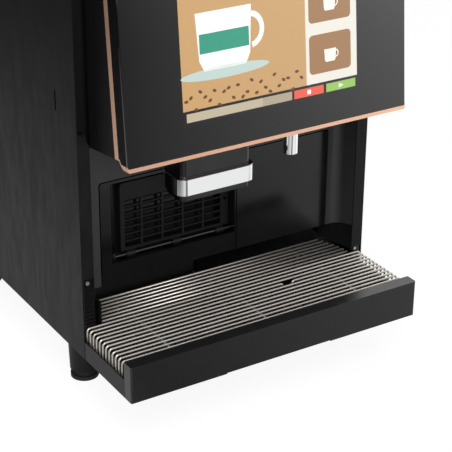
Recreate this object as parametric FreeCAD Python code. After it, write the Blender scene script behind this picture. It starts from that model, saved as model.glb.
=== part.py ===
"""Bean-to-cup coffee machine: cabinet, screen door, outlet head, cup shelf and drip tray.

Every piece is drawn in millimetres from three planes: the left side of the cabinet (x = 0),
the front of its side panels (y = 0, the front being -y) and its underside (z = 0). The export
at the end moves the whole machine so that +Z is up and the origin lies on the ground below the
middle of its bounding box. Each node goes to its own STEP file in the folder parts.
"""
import FreeCAD
import Part
import math
import os

V = FreeCAD.Vector

# Cabinet
width = 410.0
depth = 428.0
height = 640.0
sheet = 1.5
front_strip = 16.0
rear_flange = 14.0
top_flange = 12.0
rear_recess = 4.5
frame_sheet = 2.0
pan_rim = 26.0
bulkhead_y = 232.0
splash_y = 66.0
leg_height = 70.0
leg_r = 20.0
leg_thread_r = 5.9
leg_inset = 35.0

# Stack of the works between the deck and the cabinet top
rack_rise = 177.0
rack_gap = 20.0
chute_drop = 60.0
collar_high = 26.0
neck_gap = 4.0
hopper_drop = 80.0

# Drip tray and wire grid
tray_depth = 117.0
tray_wall_height = 24.0
tray_wall = 2.0
tray_floor = 3.0
fascia_height = 48.0
fascia_depth = 17.0
tray_tail = 62.0
tail_inset = 29.0
wire_d = 2.8
wire_pitch = 8.0
wire_top = 43.0
wire_first_y = -89.6
long_wires = 12
short_wires = 7
wire_inset = 4.1
wire_bend = 2.2
gap_wire = 8
gap_left = 268.6
gap_right = 283.0
gap_low = 32.0
cross_d = 4.0
cross_inset = 70.0
float_r = 9.0

# Niche
niche_left = 17.5
niche_inset = 16.0
niche_depth = 38.0
niche_wall = 2.5
niche_corner = 12.0
niche_header = 3.0
panel_bottom = 72.0
panel_drop = 62.0
panel_left = 44.5
panel_split = 238.0
panel_inset = 32.5
panel_thick = 2.5
groove = 1.5
bay_left = 62.8
bay_lip = 96.6
bay_bottom = 90.0
bay_depth = 25.0
skirt_thick = 2.4
skirt_left_x = 25.4
skirt_radius = 50.0
skirt_turn = 20.0
skirt_straight_y = 8.0
skirt_end_y = 57.0
shoe_low = 27.0
shoe_left_top = 106.0
shoe_right_top = 49.5

# Folding cup shelf
shelf_left = 80.8
shelf_thick = 4.0
shelf_pivot_y = 53.0
shelf_pivot_z = 97.0
rod_d = 5.0
slot_pitch = 9.4
slot_bar = 1.8
rib_first = 110.4
rib_pitch = 29.2
rib_count = 4

# Door
lean = 5.5
door_inset = 16.0
slab_foot_y = -92.3
slab_rise = 8.5
slab_top_gap = 2.5
slab_corner = 2.0
slab_thick = 20.9
glass = 4.0
glass_chamfer = 0.8
trim_depth = 9.1
trim_lip = 4.5
trim_sheet = 2.0
trim_foot = 5.0
underside_r = 17.5
underside_flat = 4.5
door_wall = 2.5
screen_left = 85.5
screen_right_inset = 87.0
screen_foot = 33.0
screen_head = 34.0
display_thick = 11.0
lock_y = -26.0
lock_r = 9.0
hinge_inset = 8.0
hinge_y = -7.0
hinge_pin_r = 3.0

# Outlet head and water spout, measured down from the niche header
head_x = 158.0
head_w = 105.0
head_front = -50.0
head_back = -2.0
head_drop = 69.0
head_corner = 12.0
band_drop = 61.0
band_height = 21.5
band_inset = 5.0
band_chamfer = 0.8
nozzle_spread = 13.0
spout_x = 274.5
outlet_y = -26.0
spout_d = 18.0
spout_drop = 48.0

# Top cover, bean hopper and refill lid
rim_top = 12.0
hopper_left = 28.0
hopper_front = 44.0
hopper_back = 222.0
hopper_rise = 70.0
hopper_wall = 3.0
hopper_corner = 16.0
neck_x = 86.0
neck_y = 134.0
neck_r = 17.0
lid_thick = 3.0
lid_pin_r = 1.5
refill_front = 30.0
refill_back = 250.0
refill_inset = 18.0

# Brew unit and powder canisters
brew_x = 86.0
brew_y = 84.0
piston_r = 20.0
chamber_wall = 6.0
gear_module = 1.2
gear_teeth = 18
rack_teeth = 15
pressure_angle = 20.0
backlash = 0.3
canister_w = 66.0
canister_gap = 8.0
canister_inset = 36.0
canister_front = 60.0
canister_back = 214.0
canister_wall = 2.5
auger_r = 11.0
auger_core_r = 4.0
auger_pitch = 13.5
auger_flights = 11

# Rear compartment and grounds bin
boiler_x = 120.0
boiler_r = 50.0
boiler_height = 145.0
pump_inset = 110.0
pump_r = 20.0
pump_length = 70.0
supply_width = 130.0
supply_depth = 90.0
supply_height = 42.0
supply_inset = 30.0
supply_rise = 67.0
fin_pitch = 12.0
fan_frame = 84.0
rotor_r = 38.0
bin_left = 50.0
bin_right = 200.0
bin_back = 262.0
bin_height = 150.0

# Rear connections
inlet_x = 62.0
switch_x = 112.0
connection_z = 70.0
water_inset = 80.0
water_bore_r = 6.0

# Running clearances
clear = 0.3
shaft_fit = 0.05

# Levels and faces that several pieces share
deck_z = height - hopper_drop - neck_gap - collar_high - chute_drop - rack_gap - rack_rise
deck_top = deck_z + frame_sheet
cover_top = height + rim_top
inside_l = sheet
inside_r = width - sheet
rear_face = depth - rear_recess
inner_back = rear_face - 2 * sheet
niche_right = width - niche_inset
niche_top = deck_z - niche_header
panel_top = niche_top - panel_drop
panel_right = width - panel_inset
bay_top = panel_top - 3
slab_left = door_inset
slab_right = width - door_inset
slab_z0 = deck_z + slab_rise
slab_z1 = height - slab_top_gap
screen_right = width - screen_right_inset
water_x = width - water_inset
fan_x = width / 2
fan_z = deck_z + 57
canister_right_x = width - canister_inset - canister_w
canister_left_x = canister_right_x - canister_gap - canister_w
canister_low = deck_z + 157
canister_high = height - 18
hopper_right = canister_left_x - 34
refill_left = hopper_right + 16
refill_right = width - refill_inset
wire_r = wire_d / 2
wire_z = wire_top - wire_r
tray_back = -0.8
fascia_back = -tray_depth + fascia_depth


# Drawing helpers


def box(x0, x1, y0, y1, z0, z1):
    return Part.makeBox(x1 - x0, y1 - y0, z1 - z0, V(x0, y0, z0))


def cyl(r, x, y, z0, z1):
    return Part.makeCylinder(r, z1 - z0, V(x, y, z0))


def cyl_x(r, x0, x1, y, z):
    return Part.makeCylinder(r, x1 - x0, V(x0, y, z), V(1, 0, 0))


def cyl_y(r, x, y0, y1, z):
    return Part.makeCylinder(r, y1 - y0, V(x, y0, z), V(0, 1, 0))


def tube(r_out, r_in, x, y, z0, z1):
    return cyl(r_out, x, y, z0, z1).cut(cyl(r_in, x, y, z0 - 1, z1 + 1))


def face_of(points):
    return Part.Face(Part.makePolygon([V(*p) for p in points] + [V(*points[0])]))


def prism_x(profile, x0, x1):
    return face_of([(x0, y, z) for y, z in profile]).extrude(V(x1 - x0, 0, 0))


def prism_y(profile, y0, y1):
    return face_of([(x, y0, z) for x, z in profile]).extrude(V(0, y1 - y0, 0))


def prism_z(profile, z0, z1):
    return face_of([(x, y, z0) for x, y in profile]).extrude(V(0, 0, z1 - z0))


def turned(profile, x, y):
    """Solid of revolution about an upright axis; the profile gives radius and height."""
    return face_of([(x + r, y, z) for r, z in profile]).revolve(V(x, y, 0), V(0, 0, 1), 360)


def rounded_outline(x0, x1, y0, y1, radii):
    """Closed wire round a rectangle; radii start at the low corner and go anticlockwise."""
    corners = [(x0, y0), (x1, y0), (x1, y1), (x0, y1)]
    along = [(1, 0), (0, 1), (-1, 0), (0, -1)]
    edges = []
    starts = []
    ends = []
    for (cx, cy), (dx, dy), (px, py), r in zip(corners, along, along[-1:] + along[:-1], radii):
        starts.append(V(cx - px * r, cy - py * r, 0))
        ends.append(V(cx + dx * r, cy + dy * r, 0))
        if r > 0:
            k = r * (1 - math.sqrt(0.5))
            mid = V(cx + (dx - px) * k, cy + (dy - py) * k, 0)
            edges.append(Part.Arc(starts[-1], mid, ends[-1]).toShape())
    for i in range(4):
        edges.append(Part.makeLine(ends[i], starts[(i + 1) % 4]))
    return Part.Wire(Part.__sortEdges__(edges))


def rounded_block(x0, x1, y0, y1, z0, z1, radii):
    """Upright block whose vertical edges are rounded, all alike or each by its own radius."""
    if not isinstance(radii, list):
        radii = [radii] * 4
    block = Part.Face(rounded_outline(x0, x1, y0, y1, radii)).extrude(V(0, 0, z1 - z0))
    block.translate(V(0, 0, z0))
    return block


def rounded_slab(x0, x1, y0, y1, z0, z1, radii):
    """Block that stands in the xz plane, its four long edges along y being rounded."""
    slab = rounded_block(x0, x1, z0, z1, -y1, -y0, radii)
    slab.rotate(V(0, 0, 0), V(1, 0, 0), 90)
    return slab


def frustum(low, low_z, high, high_z):
    """Four-sided funnel between two rectangles, each given as x0, x1, y0, y1."""
    ends = []
    for (x0, x1, y0, y1), z in ((low, low_z), (high, high_z)):
        ends.append([(x0, y0, z), (x1, y0, z), (x1, y1, z), (x0, y1, z)])
    bottom, top = ends
    sides = [[bottom[i - 1], bottom[i], top[i], top[i - 1]] for i in range(4)]
    return Part.makeSolid(Part.makeShell([face_of(points) for points in [bottom[::-1], top] + sides]))


def ring_of(count, r, x, y, start=0.0):
    """Points spaced evenly on a circle."""
    turns = [start + 2 * math.pi * k / count for k in range(count)]
    return [(x + r * math.cos(a), y + r * math.sin(a)) for a in turns]


def fuse(shapes):
    solid = shapes[0]
    if len(shapes) > 1:
        solid = solid.multiFuse(shapes[1:])
    return solid.removeSplitter()


def cut(solid, tools):
    return solid.cut(Part.makeCompound(tools))


def separate(shapes):
    return Part.makeCompound(shapes)


def leaned(shape):
    """Tilts a piece drawn upright at the foot of the door's front back by the lean."""
    shape = shape.copy()
    shape.rotate(V(0, slab_foot_y, slab_z0), V(1, 0, 0), -lean)
    return shape


# Sheet-metal cabinet


def side_panel(strip_low, strip_high):
    """Left-hand panel: skin with a front strip and a rear flange, and the top rail welded to it."""
    skin = box(0, sheet, 0, depth, 0, height)
    strip = box(0, front_strip, 0, sheet, strip_low, strip_high)
    rear = box(0, rear_flange, inner_back, inner_back + sheet, 4, height - 4)
    rail = box(sheet, top_flange, 6, depth - 6, height - sheet, height)
    return separate([fuse([skin, strip, rear]), rail])


def make_side_panel_left():
    """The strip stops where fingers reach behind the door; a small slot lies above it."""
    strip_high = deck_z + 19
    notch = [(front_strip + 1, strip_high + 1), (front_strip - 5.5, strip_high + 1),
             (front_strip - 5.5, strip_high - 2.5), (front_strip - 0.6, strip_high - 17),
             (front_strip + 1, strip_high - 17)]
    slot = box(-1, sheet + 1, 50, 53.5, deck_z + 32, deck_z + 57)
    panel = side_panel(shoe_left_top + 1, strip_high)
    return cut(panel, [prism_y(notch, -1, sheet + 1), slot])


def make_side_panel_right():
    return side_panel(shoe_right_top + 0.5, height).mirror(V(width / 2, 0, 0), V(1, 0, 0))


leg_places = [(x, y) for y in (74.0, depth - 53) for x in (leg_inset, width - leg_inset)]
stud_r = 4.0


def make_base_pan():
    """Floor pan with upturned sides and back, leg holes and a row of air slots."""
    floor = box(inside_l, inside_r, 2, inner_back, 0, frame_sheet)
    sides = [box(inside_l, inside_l + sheet, 12, inner_back, 0, pan_rim),
             box(inside_r - sheet, inside_r, 12, inner_back, 0, pan_rim),
             box(inside_l, inside_r, inner_back - sheet, inner_back, 0, pan_rim)]
    holes = [cyl(stud_r + 0.2, x, y, -1, frame_sheet + 1) for x, y in leg_places]
    for i in range(9):
        x = 130 + 18 * i
        holes.append(box(x, x + 8, 250, 330, -1, frame_sheet + 1))
    return cut(fuse([floor] + sides), holes)


leg_foot_z = -leg_height + 12


def leg_body(x, y):
    """Tapered moulded leg with a blind bore for the screw of its foot."""
    bore_r = leg_thread_r + 2 * shaft_fit
    return turned([(bore_r, leg_foot_z), (leg_r - 1.5, leg_foot_z), (leg_r, -10), (leg_r, 0), (0, 0),
                   (0, leg_foot_z + 30), (bore_r, leg_foot_z + 30)], x, y)


def leg_foot(x, y):
    """Screw-out foot: round sole, neck and threaded spindle."""
    return turned([(0, -leg_height), (leg_r - 2, -leg_height), (leg_r - 2, -leg_height + 5),
                   (leg_r - 6, -leg_height + 5), (leg_r - 6, leg_foot_z), (leg_thread_r, leg_foot_z),
                   (leg_thread_r, leg_foot_z + 28), (0, leg_foot_z + 28)], x, y)


def make_legs():
    return separate([leg_body(x, y) for x, y in leg_places])


def make_leg_feet():
    return separate([leg_foot(x, y) for x, y in leg_places])


def make_rear_panel():
    """Rear sheet with air slots, a ringed fan grille and openings for the connections."""
    skin = box(inside_l, inside_r, rear_face - sheet, rear_face, 0, height - sheet)
    y0 = rear_face - sheet - 1
    y1 = rear_face + 1
    cuts = [box(inlet_x - 14, inlet_x + 14, y0, y1, connection_z - 10.5, connection_z + 10.5),
            box(switch_x - 11, switch_x + 11, y0, y1, connection_z - 15, connection_z + 15),
            cyl_y(12.5, water_x, y0, y1, connection_z)]
    slot_w = 110
    for x in (fan_x - 145, fan_x + 35):
        for row in range(8):
            z = canister_low + 18 * row
            cuts.append(box(x, x + slot_w, y0, y1, z, z + 5))
    spokes = fuse([box(fan_x - 2, fan_x + 2, y0, y1, fan_z - 45, fan_z + 45),
                   box(fan_x - 45, fan_x + 45, y0, y1, fan_z - 2, fan_z + 2)])
    for r in (8, 17, 26, 35):
        ring = cyl_y(r + 2, fan_x, y0, y1, fan_z).cut(cyl_y(r - 2, fan_x, y0, y1, fan_z))
        cuts.append(ring.cut(spokes))
    return cut(skin, cuts)


canister_rail_z = canister_low - 6


def make_inner_frame():
    """Deck above the niche, bulkhead, grip recess, door jamb and the canister shelf."""
    top = height - 4
    deck = box(inside_l, inside_r, 3, inner_back, deck_z, deck_top)
    bulkhead = box(inside_l, inside_r, bulkhead_y, bulkhead_y + frame_sheet, deck_top, height - 14)
    recess_back = box(inside_l, slab_left + 6, 14, 14 + sheet, deck_top, top)
    recess_side = box(slab_left + 6 - sheet, slab_left + 6, 0.8, 14 + sheet, deck_top, top)
    jamb = box(slab_right - 22, inside_r, frame_sheet, frame_sheet + sheet, deck_top, top)
    rail = box(canister_left_x - 20, width - 14, canister_front - 4, bulkhead_y, canister_rail_z,
               canister_rail_z + 3)
    pads = []
    for x0 in (canister_left_x, canister_right_x):
        middle = x0 + canister_w / 2
        pads.append(box(middle - 12, middle + 12, canister_front + 4, canister_back - 18,
                        canister_rail_z + 3, canister_low))
    hose_holes = [cyl_y(14, x, bulkhead_y - 1, bulkhead_y + 3, fan_z) for x in (90, 250, water_x + 10)]
    hose_holes.append(rounded_slab(40, 140, bulkhead_y - 1, bulkhead_y + 3, height - 55, height - 30, 6))
    for r, x, y in ((16, head_x, 26), (12, spout_x, 26), (9, head_x, 100)):
        hose_holes.append(cyl(r, x, y, deck_z - 1, deck_top + 1))
    return cut(fuse([deck, bulkhead, recess_back, recess_side, jamb, rail] + pads), hose_holes)


def make_splash_wall():
    wall = box(inside_l + 1.5, inside_r - 1.5, splash_y, splash_y + sheet, 78, deck_z)
    return wall.cut(cyl_y(15, water_x, splash_y - 1, splash_y + 3, deck_z - 41))


# Niche


def make_niche_lining():
    """Moulded walls and header with a window for the lining panels."""
    low = panel_bottom - 2
    outer_corner = niche_corner + niche_wall
    outer = rounded_block(niche_left - niche_wall, niche_right + niche_wall, 2, niche_depth + niche_wall,
                          low, niche_top + niche_wall, [0, 0, outer_corner, outer_corner])
    inner = rounded_block(niche_left, niche_right, 1, niche_depth, low - 1, niche_top,
                          [0, 0, niche_corner, niche_corner])
    window = rounded_slab(panel_left, panel_right, niche_depth - 1, niche_depth + niche_wall + 1,
                          panel_bottom - 8, panel_top, [0, 0, 4, 4])
    skirt_room = prism_x([(0, low - 8), (0, low + 11.5), (2, low + 11.5), (niche_depth + 4, low),
                          (niche_depth + 4, low - 8)], niche_right - 20, niche_right + 6)
    shoe_room = box(0, niche_left + 0.1, 1, 11.3, 60, shoe_left_top + 0.5)
    return cut(outer, [inner, window, skirt_room, shoe_room])


def skirt_curve(offset):
    """Plan edges of the left skirt, offset outwards: straight back, then turning inwards."""
    turn = math.radians(skirt_turn)
    x0 = skirt_left_x - offset
    r = skirt_radius + offset
    centre_x = skirt_left_x + skirt_radius

    def on_arc(a):
        return V(centre_x - r * math.cos(a), skirt_straight_y + r * math.sin(a), 0)

    bend = on_arc(turn)
    run = (skirt_end_y - bend.y) / math.cos(turn)
    end = bend + V(run * math.sin(turn), run * math.cos(turn), 0)
    start = V(x0, 2, 0)
    straight = V(x0, skirt_straight_y, 0)
    edges = [Part.makeLine(start, straight), Part.Arc(straight, on_arc(turn / 2), bend).toShape(),
             Part.makeLine(bend, end)]
    return edges, start, end


def skirt_x(y):
    """How far from the cabinet's left side the skirt's inner face is at y."""
    turn = math.radians(skirt_turn)
    bend_y = skirt_straight_y + skirt_radius * math.sin(turn)
    centre_x = skirt_left_x + skirt_radius
    if y <= skirt_straight_y:
        return skirt_left_x
    if y <= bend_y:
        return centre_x - math.sqrt(skirt_radius ** 2 - (y - skirt_straight_y) ** 2)
    return centre_x - skirt_radius * math.cos(turn) + (y - bend_y) * math.tan(turn)


def skirt_strip(rise_front, rise_back):
    """Upright splash strip on the left, its top sloping down to the back."""
    foot = 45.0
    inner, start_in, end_in = skirt_curve(0)
    outer, start_out, end_out = skirt_curve(skirt_thick)
    closing = [Part.makeLine(start_in, start_out), Part.makeLine(end_in, end_out)]
    plan = Part.Face(Part.Wire(Part.__sortEdges__(inner + outer + closing)))
    strip = plan.extrude(V(0, 0, rise_front - foot))
    strip.translate(V(0, 0, foot))
    back = skirt_end_y + 3
    above = prism_x([(-1, rise_front), (2, rise_front), (back, rise_back), (back, rise_front + 5),
                     (-1, rise_front + 5)], 0, width)
    return strip.cut(above)


def make_niche_skirts():
    """Splash strips that lead from the front posts in behind the wire grid."""
    left = skirt_strip(panel_bottom, panel_bottom - 8)
    ledge = box(niche_left - niche_wall, skirt_left_x - 0.6, 14, 30, panel_bottom - 6, panel_bottom - 2)
    right = skirt_strip(panel_bottom + 9, panel_bottom - 8)
    right = right.mirror(V(0, 0, 0), V(1, 0, 0))
    right.translate(V(niche_right + skirt_left_x, 0, 0))
    return separate([fuse([left, ledge]), right])


shoe_y = 1.2


def pan_screw(x, z, r, head, stem):
    """Pan-head screw seated on a face that looks to the front."""
    return cyl_y(r, x, shoe_y - head, shoe_y, z).fuse(cyl_y(r * 0.5, x, shoe_y, shoe_y + stem, z))


shoe_screws = [pan_screw(7.5, shoe_left_top - 4.5, 2.4, 1.0, 5),
               pan_screw(width - 10, shoe_right_top - 3.1, 2.0, 0.8, 5)]


def make_post_shoes():
    """Moulded feet of the front posts, each held by a small screw."""
    left = rounded_block(2, niche_left - 0.2, shoe_y, 11, shoe_low, shoe_left_top, 1)
    right = rounded_block(niche_right + 2.7, width - 2, shoe_y, 11, shoe_low, shoe_right_top, 1)
    return separate([cut(left, shoe_screws), cut(right, shoe_screws)])


plate_back = niche_depth + panel_thick
plate_left = panel_left + groove
split_left = panel_split - groove / 2
split_right = panel_split + groove / 2
plate_top = panel_top - groove
bay_right = split_left - 1.6
bay_back = niche_depth + bay_depth


def make_bay_panel():
    """Left lining panel with a pocket behind it, in which the folded shelf stands."""
    plate = rounded_slab(plate_left, split_left, niche_depth, plate_back, panel_bottom, plate_top,
                         [2, 0, 0, 4])
    tub = box(bay_left - 2, split_left, niche_depth + 1, bay_back + 2, bay_bottom - 2, bay_top)
    pocket = rounded_slab(bay_left, bay_right, plate_back, bay_back, bay_bottom, bay_top - 2, 1)
    mouth = rounded_slab(bay_left, bay_right, niche_depth - 1, plate_back + 1, bay_lip, bay_top - 2, 1)
    lead_in = prism_z([(bay_left + 0.5, niche_depth - 1), (bay_left - 3.2, niche_depth - 1),
                       (bay_left - 1.6, niche_depth + 1.2), (bay_left + 0.5, niche_depth + 4)],
                      bay_lip, bay_top - 2)
    return cut(fuse([plate, tub]), [pocket, mouth, lead_in])


carrier_front = plate_back + 8


def make_flat_panel():
    """Right lining panel with three clips on its back."""
    plate = rounded_slab(split_right, panel_right - groove, niche_depth, plate_back, panel_bottom - 0.8,
                         plate_top, [0, 2, 4, 0])
    clips = [box(split_right + 21, split_right + 51, plate_back, carrier_front, z, z + 16)
             for z in (panel_bottom + 8, panel_top - 23)]
    middle = (panel_bottom + panel_top) / 2
    clips.append(box(panel_right - 38, panel_right - 12, plate_back, carrier_front, middle - 10,
                     middle + 10))
    return fuse([plate] + clips)


def make_panel_carrier():
    """Sheet behind the lining panels, held off the niche lining by pads."""
    left = panel_left - 14
    right = panel_right + 10
    lining_back = niche_depth + niche_wall
    plate = box(left, right, carrier_front, carrier_front + frame_sheet, panel_bottom + 2, panel_top + 12)
    window = box(bay_left - 2.5, panel_split + 6, plate_back, bay_back + 5, bay_bottom - 2.5, bay_top + 1)
    lightening = rounded_slab(panel_split + 62, panel_split + 94, plate_back, bay_back, bay_bottom,
                              panel_top - 18, 6)
    pads = [box(left, left + 10, lining_back, carrier_front, panel_top + 4, panel_top + 12),
            box(right - 8, right, lining_back, carrier_front, panel_top + 4, panel_top + 12),
            box(bay_left, panel_split - 30, lining_back, carrier_front, panel_top + 3, panel_top + 11),
            box(plate_left + 2, bay_left - 5, plate_back, carrier_front, bay_bottom - 6, bay_bottom + 2)]
    return fuse([cut(plate, [window, lightening])] + pads)


# Folding cup shelf, drawn in its stowed place behind the hinge rod

shelf_y0 = shelf_pivot_y + clear
shelf_y1 = shelf_y0 + shelf_thick
shelf_right = bay_right - 0.65
shelf_low = shelf_pivot_z + 5
shelf_high = bay_top - 12


def shelf_slots():
    """Rows of slots between upright ribs, as many as the height holds."""
    first_z = shelf_low + 3.4
    rows = int((shelf_high - 8 - first_z) / slot_pitch) - 1
    ribs = [rib_first + i * rib_pitch for i in range(rib_count)]
    edges = [shelf_left + 4.6] + ribs + [shelf_right - 9.8]
    slots = []
    for row in range(rows):
        z = first_z + row * slot_pitch
        top = z + slot_pitch - slot_bar
        for left, right in zip(edges, edges[1:]):
            slots.append(box(left + 1.2, right - 1.2, shelf_y0 - 1, shelf_y1 + 1, z, top))
    return slots


def make_cup_shelf():
    """Slotted plate with side rims and three knuckles round the hinge rod."""
    plate = rounded_slab(shelf_left, shelf_right, shelf_y0, shelf_y1, shelf_low, shelf_high, [1, 1, 5, 5])
    rims = [box(x, x + 3, shelf_y1, shelf_y1 + 3, shelf_low + 4, shelf_high - 6)
            for x in (shelf_left, shelf_right - 3)]
    knuckles = []
    for x in (shelf_left + 6, (shelf_left + shelf_right) / 2 - 6, shelf_right - 20):
        knuckles.append(cyl_x(rod_d / 2 + 2.2, x, x + 12, shelf_pivot_y, shelf_pivot_z))
        knuckles.append(box(x, x + 12, shelf_y0, shelf_y1, shelf_pivot_z, shelf_low + 1))
    finger_z = (shelf_low + shelf_high) / 2 - 8.5
    finger_hole = cyl_y(2.2, shelf_right - 5, shelf_y0 - 1, shelf_y1 + 1, finger_z)
    rod_hole = cyl_x(rod_d / 2 + shaft_fit, 0, width, shelf_pivot_y, shelf_pivot_z)
    return cut(fuse([plate] + rims + knuckles), shelf_slots() + [finger_hole, rod_hole])


def make_shelf_rod():
    """Hinge rod across the bay, with the bracket that carries its left end."""
    x0 = bay_left + 4
    rod = cyl_x(rod_d / 2, x0, bay_right, shelf_pivot_y, shelf_pivot_z)
    bracket = box(x0, x0 + 3, shelf_pivot_y - 5, bay_back, bay_bottom, shelf_pivot_z + 7)
    lug = box(x0, x0 + 9, shelf_pivot_y + 4, bay_back, bay_bottom, bay_bottom + 2)
    return fuse([rod, bracket, lug])


# Drip tray: full-width front pan, narrow tail under the niche, raised fascia

tray_left = clear
tray_right = width - clear
tail_left = tail_inset
tail_right = width - tail_inset
float_x = (gap_left + gap_right) / 2
float_y = wire_first_y + gap_wire * wire_pitch
post_r = 2.5
rib_x = float_x + float_r + 15


def make_drip_tray():
    """Front pan open to the tail behind it, with floor ribs and the float's guide post."""
    over = tray_wall_height + 1
    front = box(tray_left, tray_right, fascia_back, tray_back, 0, tray_wall_height)
    front_in = box(tray_left + tray_wall, tray_right - tray_wall, fascia_back - 1, tray_back - tray_wall,
                   tray_floor, over)
    tail = rounded_block(tail_left, tail_right, -4, tray_tail, 2, tray_wall_height, [0, 0, 20, 20])
    tail_in = rounded_block(tail_left + tray_wall, tail_right - tray_wall, -8, tray_tail - tray_wall, 4.5,
                            over, [0, 0, 18, 18])
    ribs = [box(x - 1.2, x + 1.2, fascia_back, tray_tail - 30, tray_floor, tray_floor + 6)
            for x in (width - rib_x, width / 2, rib_x)]
    post = cyl(post_r, float_x, float_y, tray_floor, 20)
    pan = fuse([front.cut(front_in), tail]).cut(tail_in)
    return fuse([pan, post] + ribs)


def make_tray_fascia():
    """Hollow front moulding with a finger bevel under its front edge."""
    front = -tray_depth
    shell = rounded_block(tray_left, tray_right, front, fascia_back, 0, fascia_height, [2.2, 2.2, 1.0, 1.0])
    hollow = box(tray_left + 3, tray_right - 3, front + 3, fascia_back - 3, -1, fascia_height - 3)
    bevel = prism_x([(front + 2.9, -1), (front - 1, -1), (front - 1, 2)], width / 2 - 75, width / 2 + 75)
    return cut(shell, [hollow, bevel])


# Wire grid: wires laid side by side on three cross bars


def bent_wire(y, x0, x1, low_left, low_right):
    """Round wire that is bent down to a leg at each end, each bend drawn with two mitres."""
    bend = wire_z - wire_bend
    path = Part.makePolygon([V(x0, y, low_left), V(x0, y, bend), V(x0 + wire_bend, y, wire_z),
                             V(x1 - wire_bend, y, wire_z), V(x1, y, bend), V(x1, y, low_right)])
    section = Part.Wire(Part.makeCircle(wire_r, V(x0, y, low_left), V(0, 0, 1)))
    return path.makePipeShell([section], True, False, 1)


def make_drip_grid():
    """Full-width wires with legs, one of them interrupted, and short wires under the niche."""
    ys = [wire_first_y + i * wire_pitch for i in range(long_wires + short_wires)]
    x0 = wire_inset
    x1 = width - wire_inset
    wires = []
    for i in range(long_wires):
        low = tray_floor
        if ys[i] > tray_back - tray_wall - wire_r:
            low = tray_wall_height
        if i == gap_wire:
            wires.append(bent_wire(ys[i], x0, gap_left, low, gap_low))
            wires.append(bent_wire(ys[i], gap_right, x1, gap_low, low))
        else:
            wires.append(bent_wire(ys[i], x0, x1, low, low))
    for y in ys[long_wires:]:
        end = skirt_x(y) + 2.6
        wires.append(cyl_x(wire_r, end, niche_right + skirt_left_x - end, y, wire_z))
    cross_z = wire_z - wire_r - cross_d / 2
    bars = []
    for x in (cross_inset, width / 2, width - cross_inset):
        bar = cyl_y(cross_d / 2, x, ys[0] - 3, ys[-1] + 2.5, cross_z)
        foot = cyl(cross_d / 2, x, ys[-2], 4.5, cross_z)
        bars.append(fuse([bar, foot]))
    return separate(wires + bars)


def make_level_float():
    """Float on the guide post; its stem shows in the gap of the grid when the tray is full."""
    return turned([(post_r + clear, tray_floor + 0.4), (float_r, tray_floor + 0.4), (float_r, 15), (3, 15),
                   (3, gap_low), (0, gap_low), (0, 22), (post_r + clear, 22)], float_x, float_y)


# Door: leaning slab with glass, trim ring and body shell


def slab_block(grow, front, back, rise=0):
    """Plate of the slab's outline, between two depths behind its front, its foot raised if asked."""
    return rounded_slab(slab_left - grow, slab_right + grow, slab_foot_y + front, slab_foot_y + back,
                        slab_z0 - grow + rise, slab_z1 + grow, max(slab_corner + grow, 0))


def underside_room(inset):
    """Room below the curve by which the slab's underside rises to its back."""
    y = slab_foot_y + underside_flat
    low = slab_z0 - trim_lip
    block = box(slab_left - 5, slab_right + 5, y, slab_foot_y + trim_back + 5, low - 5,
                slab_z0 + trim_foot + inset)
    return block.cut(cyl_x(underside_r - inset, slab_left - 6, slab_right + 6, y, low + underside_r))


def make_front_glass():
    plate = slab_block(0, 0, glass)
    front = [e for e in plate.Edges if e.BoundBox.YMax < slab_foot_y + 0.01]
    return leaned(plate.makeChamfer(glass_chamfer, front))


def screen_block(grow, front, back):
    """Block behind the glass, as large as the screen and a margin."""
    return box(screen_left - grow, screen_right + grow, slab_foot_y + front, slab_foot_y + back,
               slab_z0 + screen_foot - grow, slab_z1 - screen_head + grow)


def make_door_bezel():
    """Frame of the slab behind the glass, its foot curved, open behind the screen."""
    hollow = slab_block(-door_wall - 3, glass + 3, slab_thick + 1, trim_foot)
    return leaned(cut(slab_block(0, glass, slab_thick), [hollow, screen_block(6, glass - 1, slab_thick),
                                                         underside_room(trim_sheet)]))


def make_display_module():
    panel = screen_block(0, glass, glass + display_thick)
    board = screen_block(-30, glass + display_thick, glass + display_thick + 2)
    return leaned(panel.fuse(board))


trim_front = slab_thick
trim_back = slab_thick + trim_depth


def make_copper_trim():
    """Band round the slab's rear edge; its foot curves forward to a lip below the glass."""
    outer = rounded_slab(slab_left, slab_right, slab_foot_y, slab_foot_y + trim_back, slab_z0 - trim_lip,
                         slab_z1 + trim_lip, slab_corner)
    seat = slab_block(0, -1, trim_front).cut(underside_room(trim_sheet))
    hollow = slab_block(-door_wall - 2, trim_front - 1, trim_back + 1, trim_foot)
    return leaned(cut(outer, [seat, hollow, underside_room(0)]))


block_left = head_x - head_w / 2 + band_inset
block_right = head_x + head_w / 2 - band_inset
block_front = head_front + band_inset
block_back = head_back - band_inset + 3
block_corner = head_corner - band_inset
block_top = deck_z + 17
lock_z = deck_z + 197
lock_core_r = lock_r - 3
hinge_levels = [deck_z + 37, height - 50]


def body_profile(inset):
    """Side outline of the door body behind the leaning trim, drawn in by a wall thickness."""
    foot_y = slab_foot_y + trim_back / math.cos(math.radians(lean)) + inset
    slope = math.tan(math.radians(lean))
    back = -clear
    if inset:
        back = 1.0
    kink_z = slab_z0 + 1.5 + inset
    top_z = height - 3 - inset
    under = deck_z + 1.2 + inset
    return [(back, under), (-8.6, under + 1.6), (-30, under + 4.8),
            (foot_y + (kink_z - slab_z0) * slope, kink_z), (foot_y + (top_z - slab_z0) * slope, top_z),
            (back, top_z)]


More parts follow.
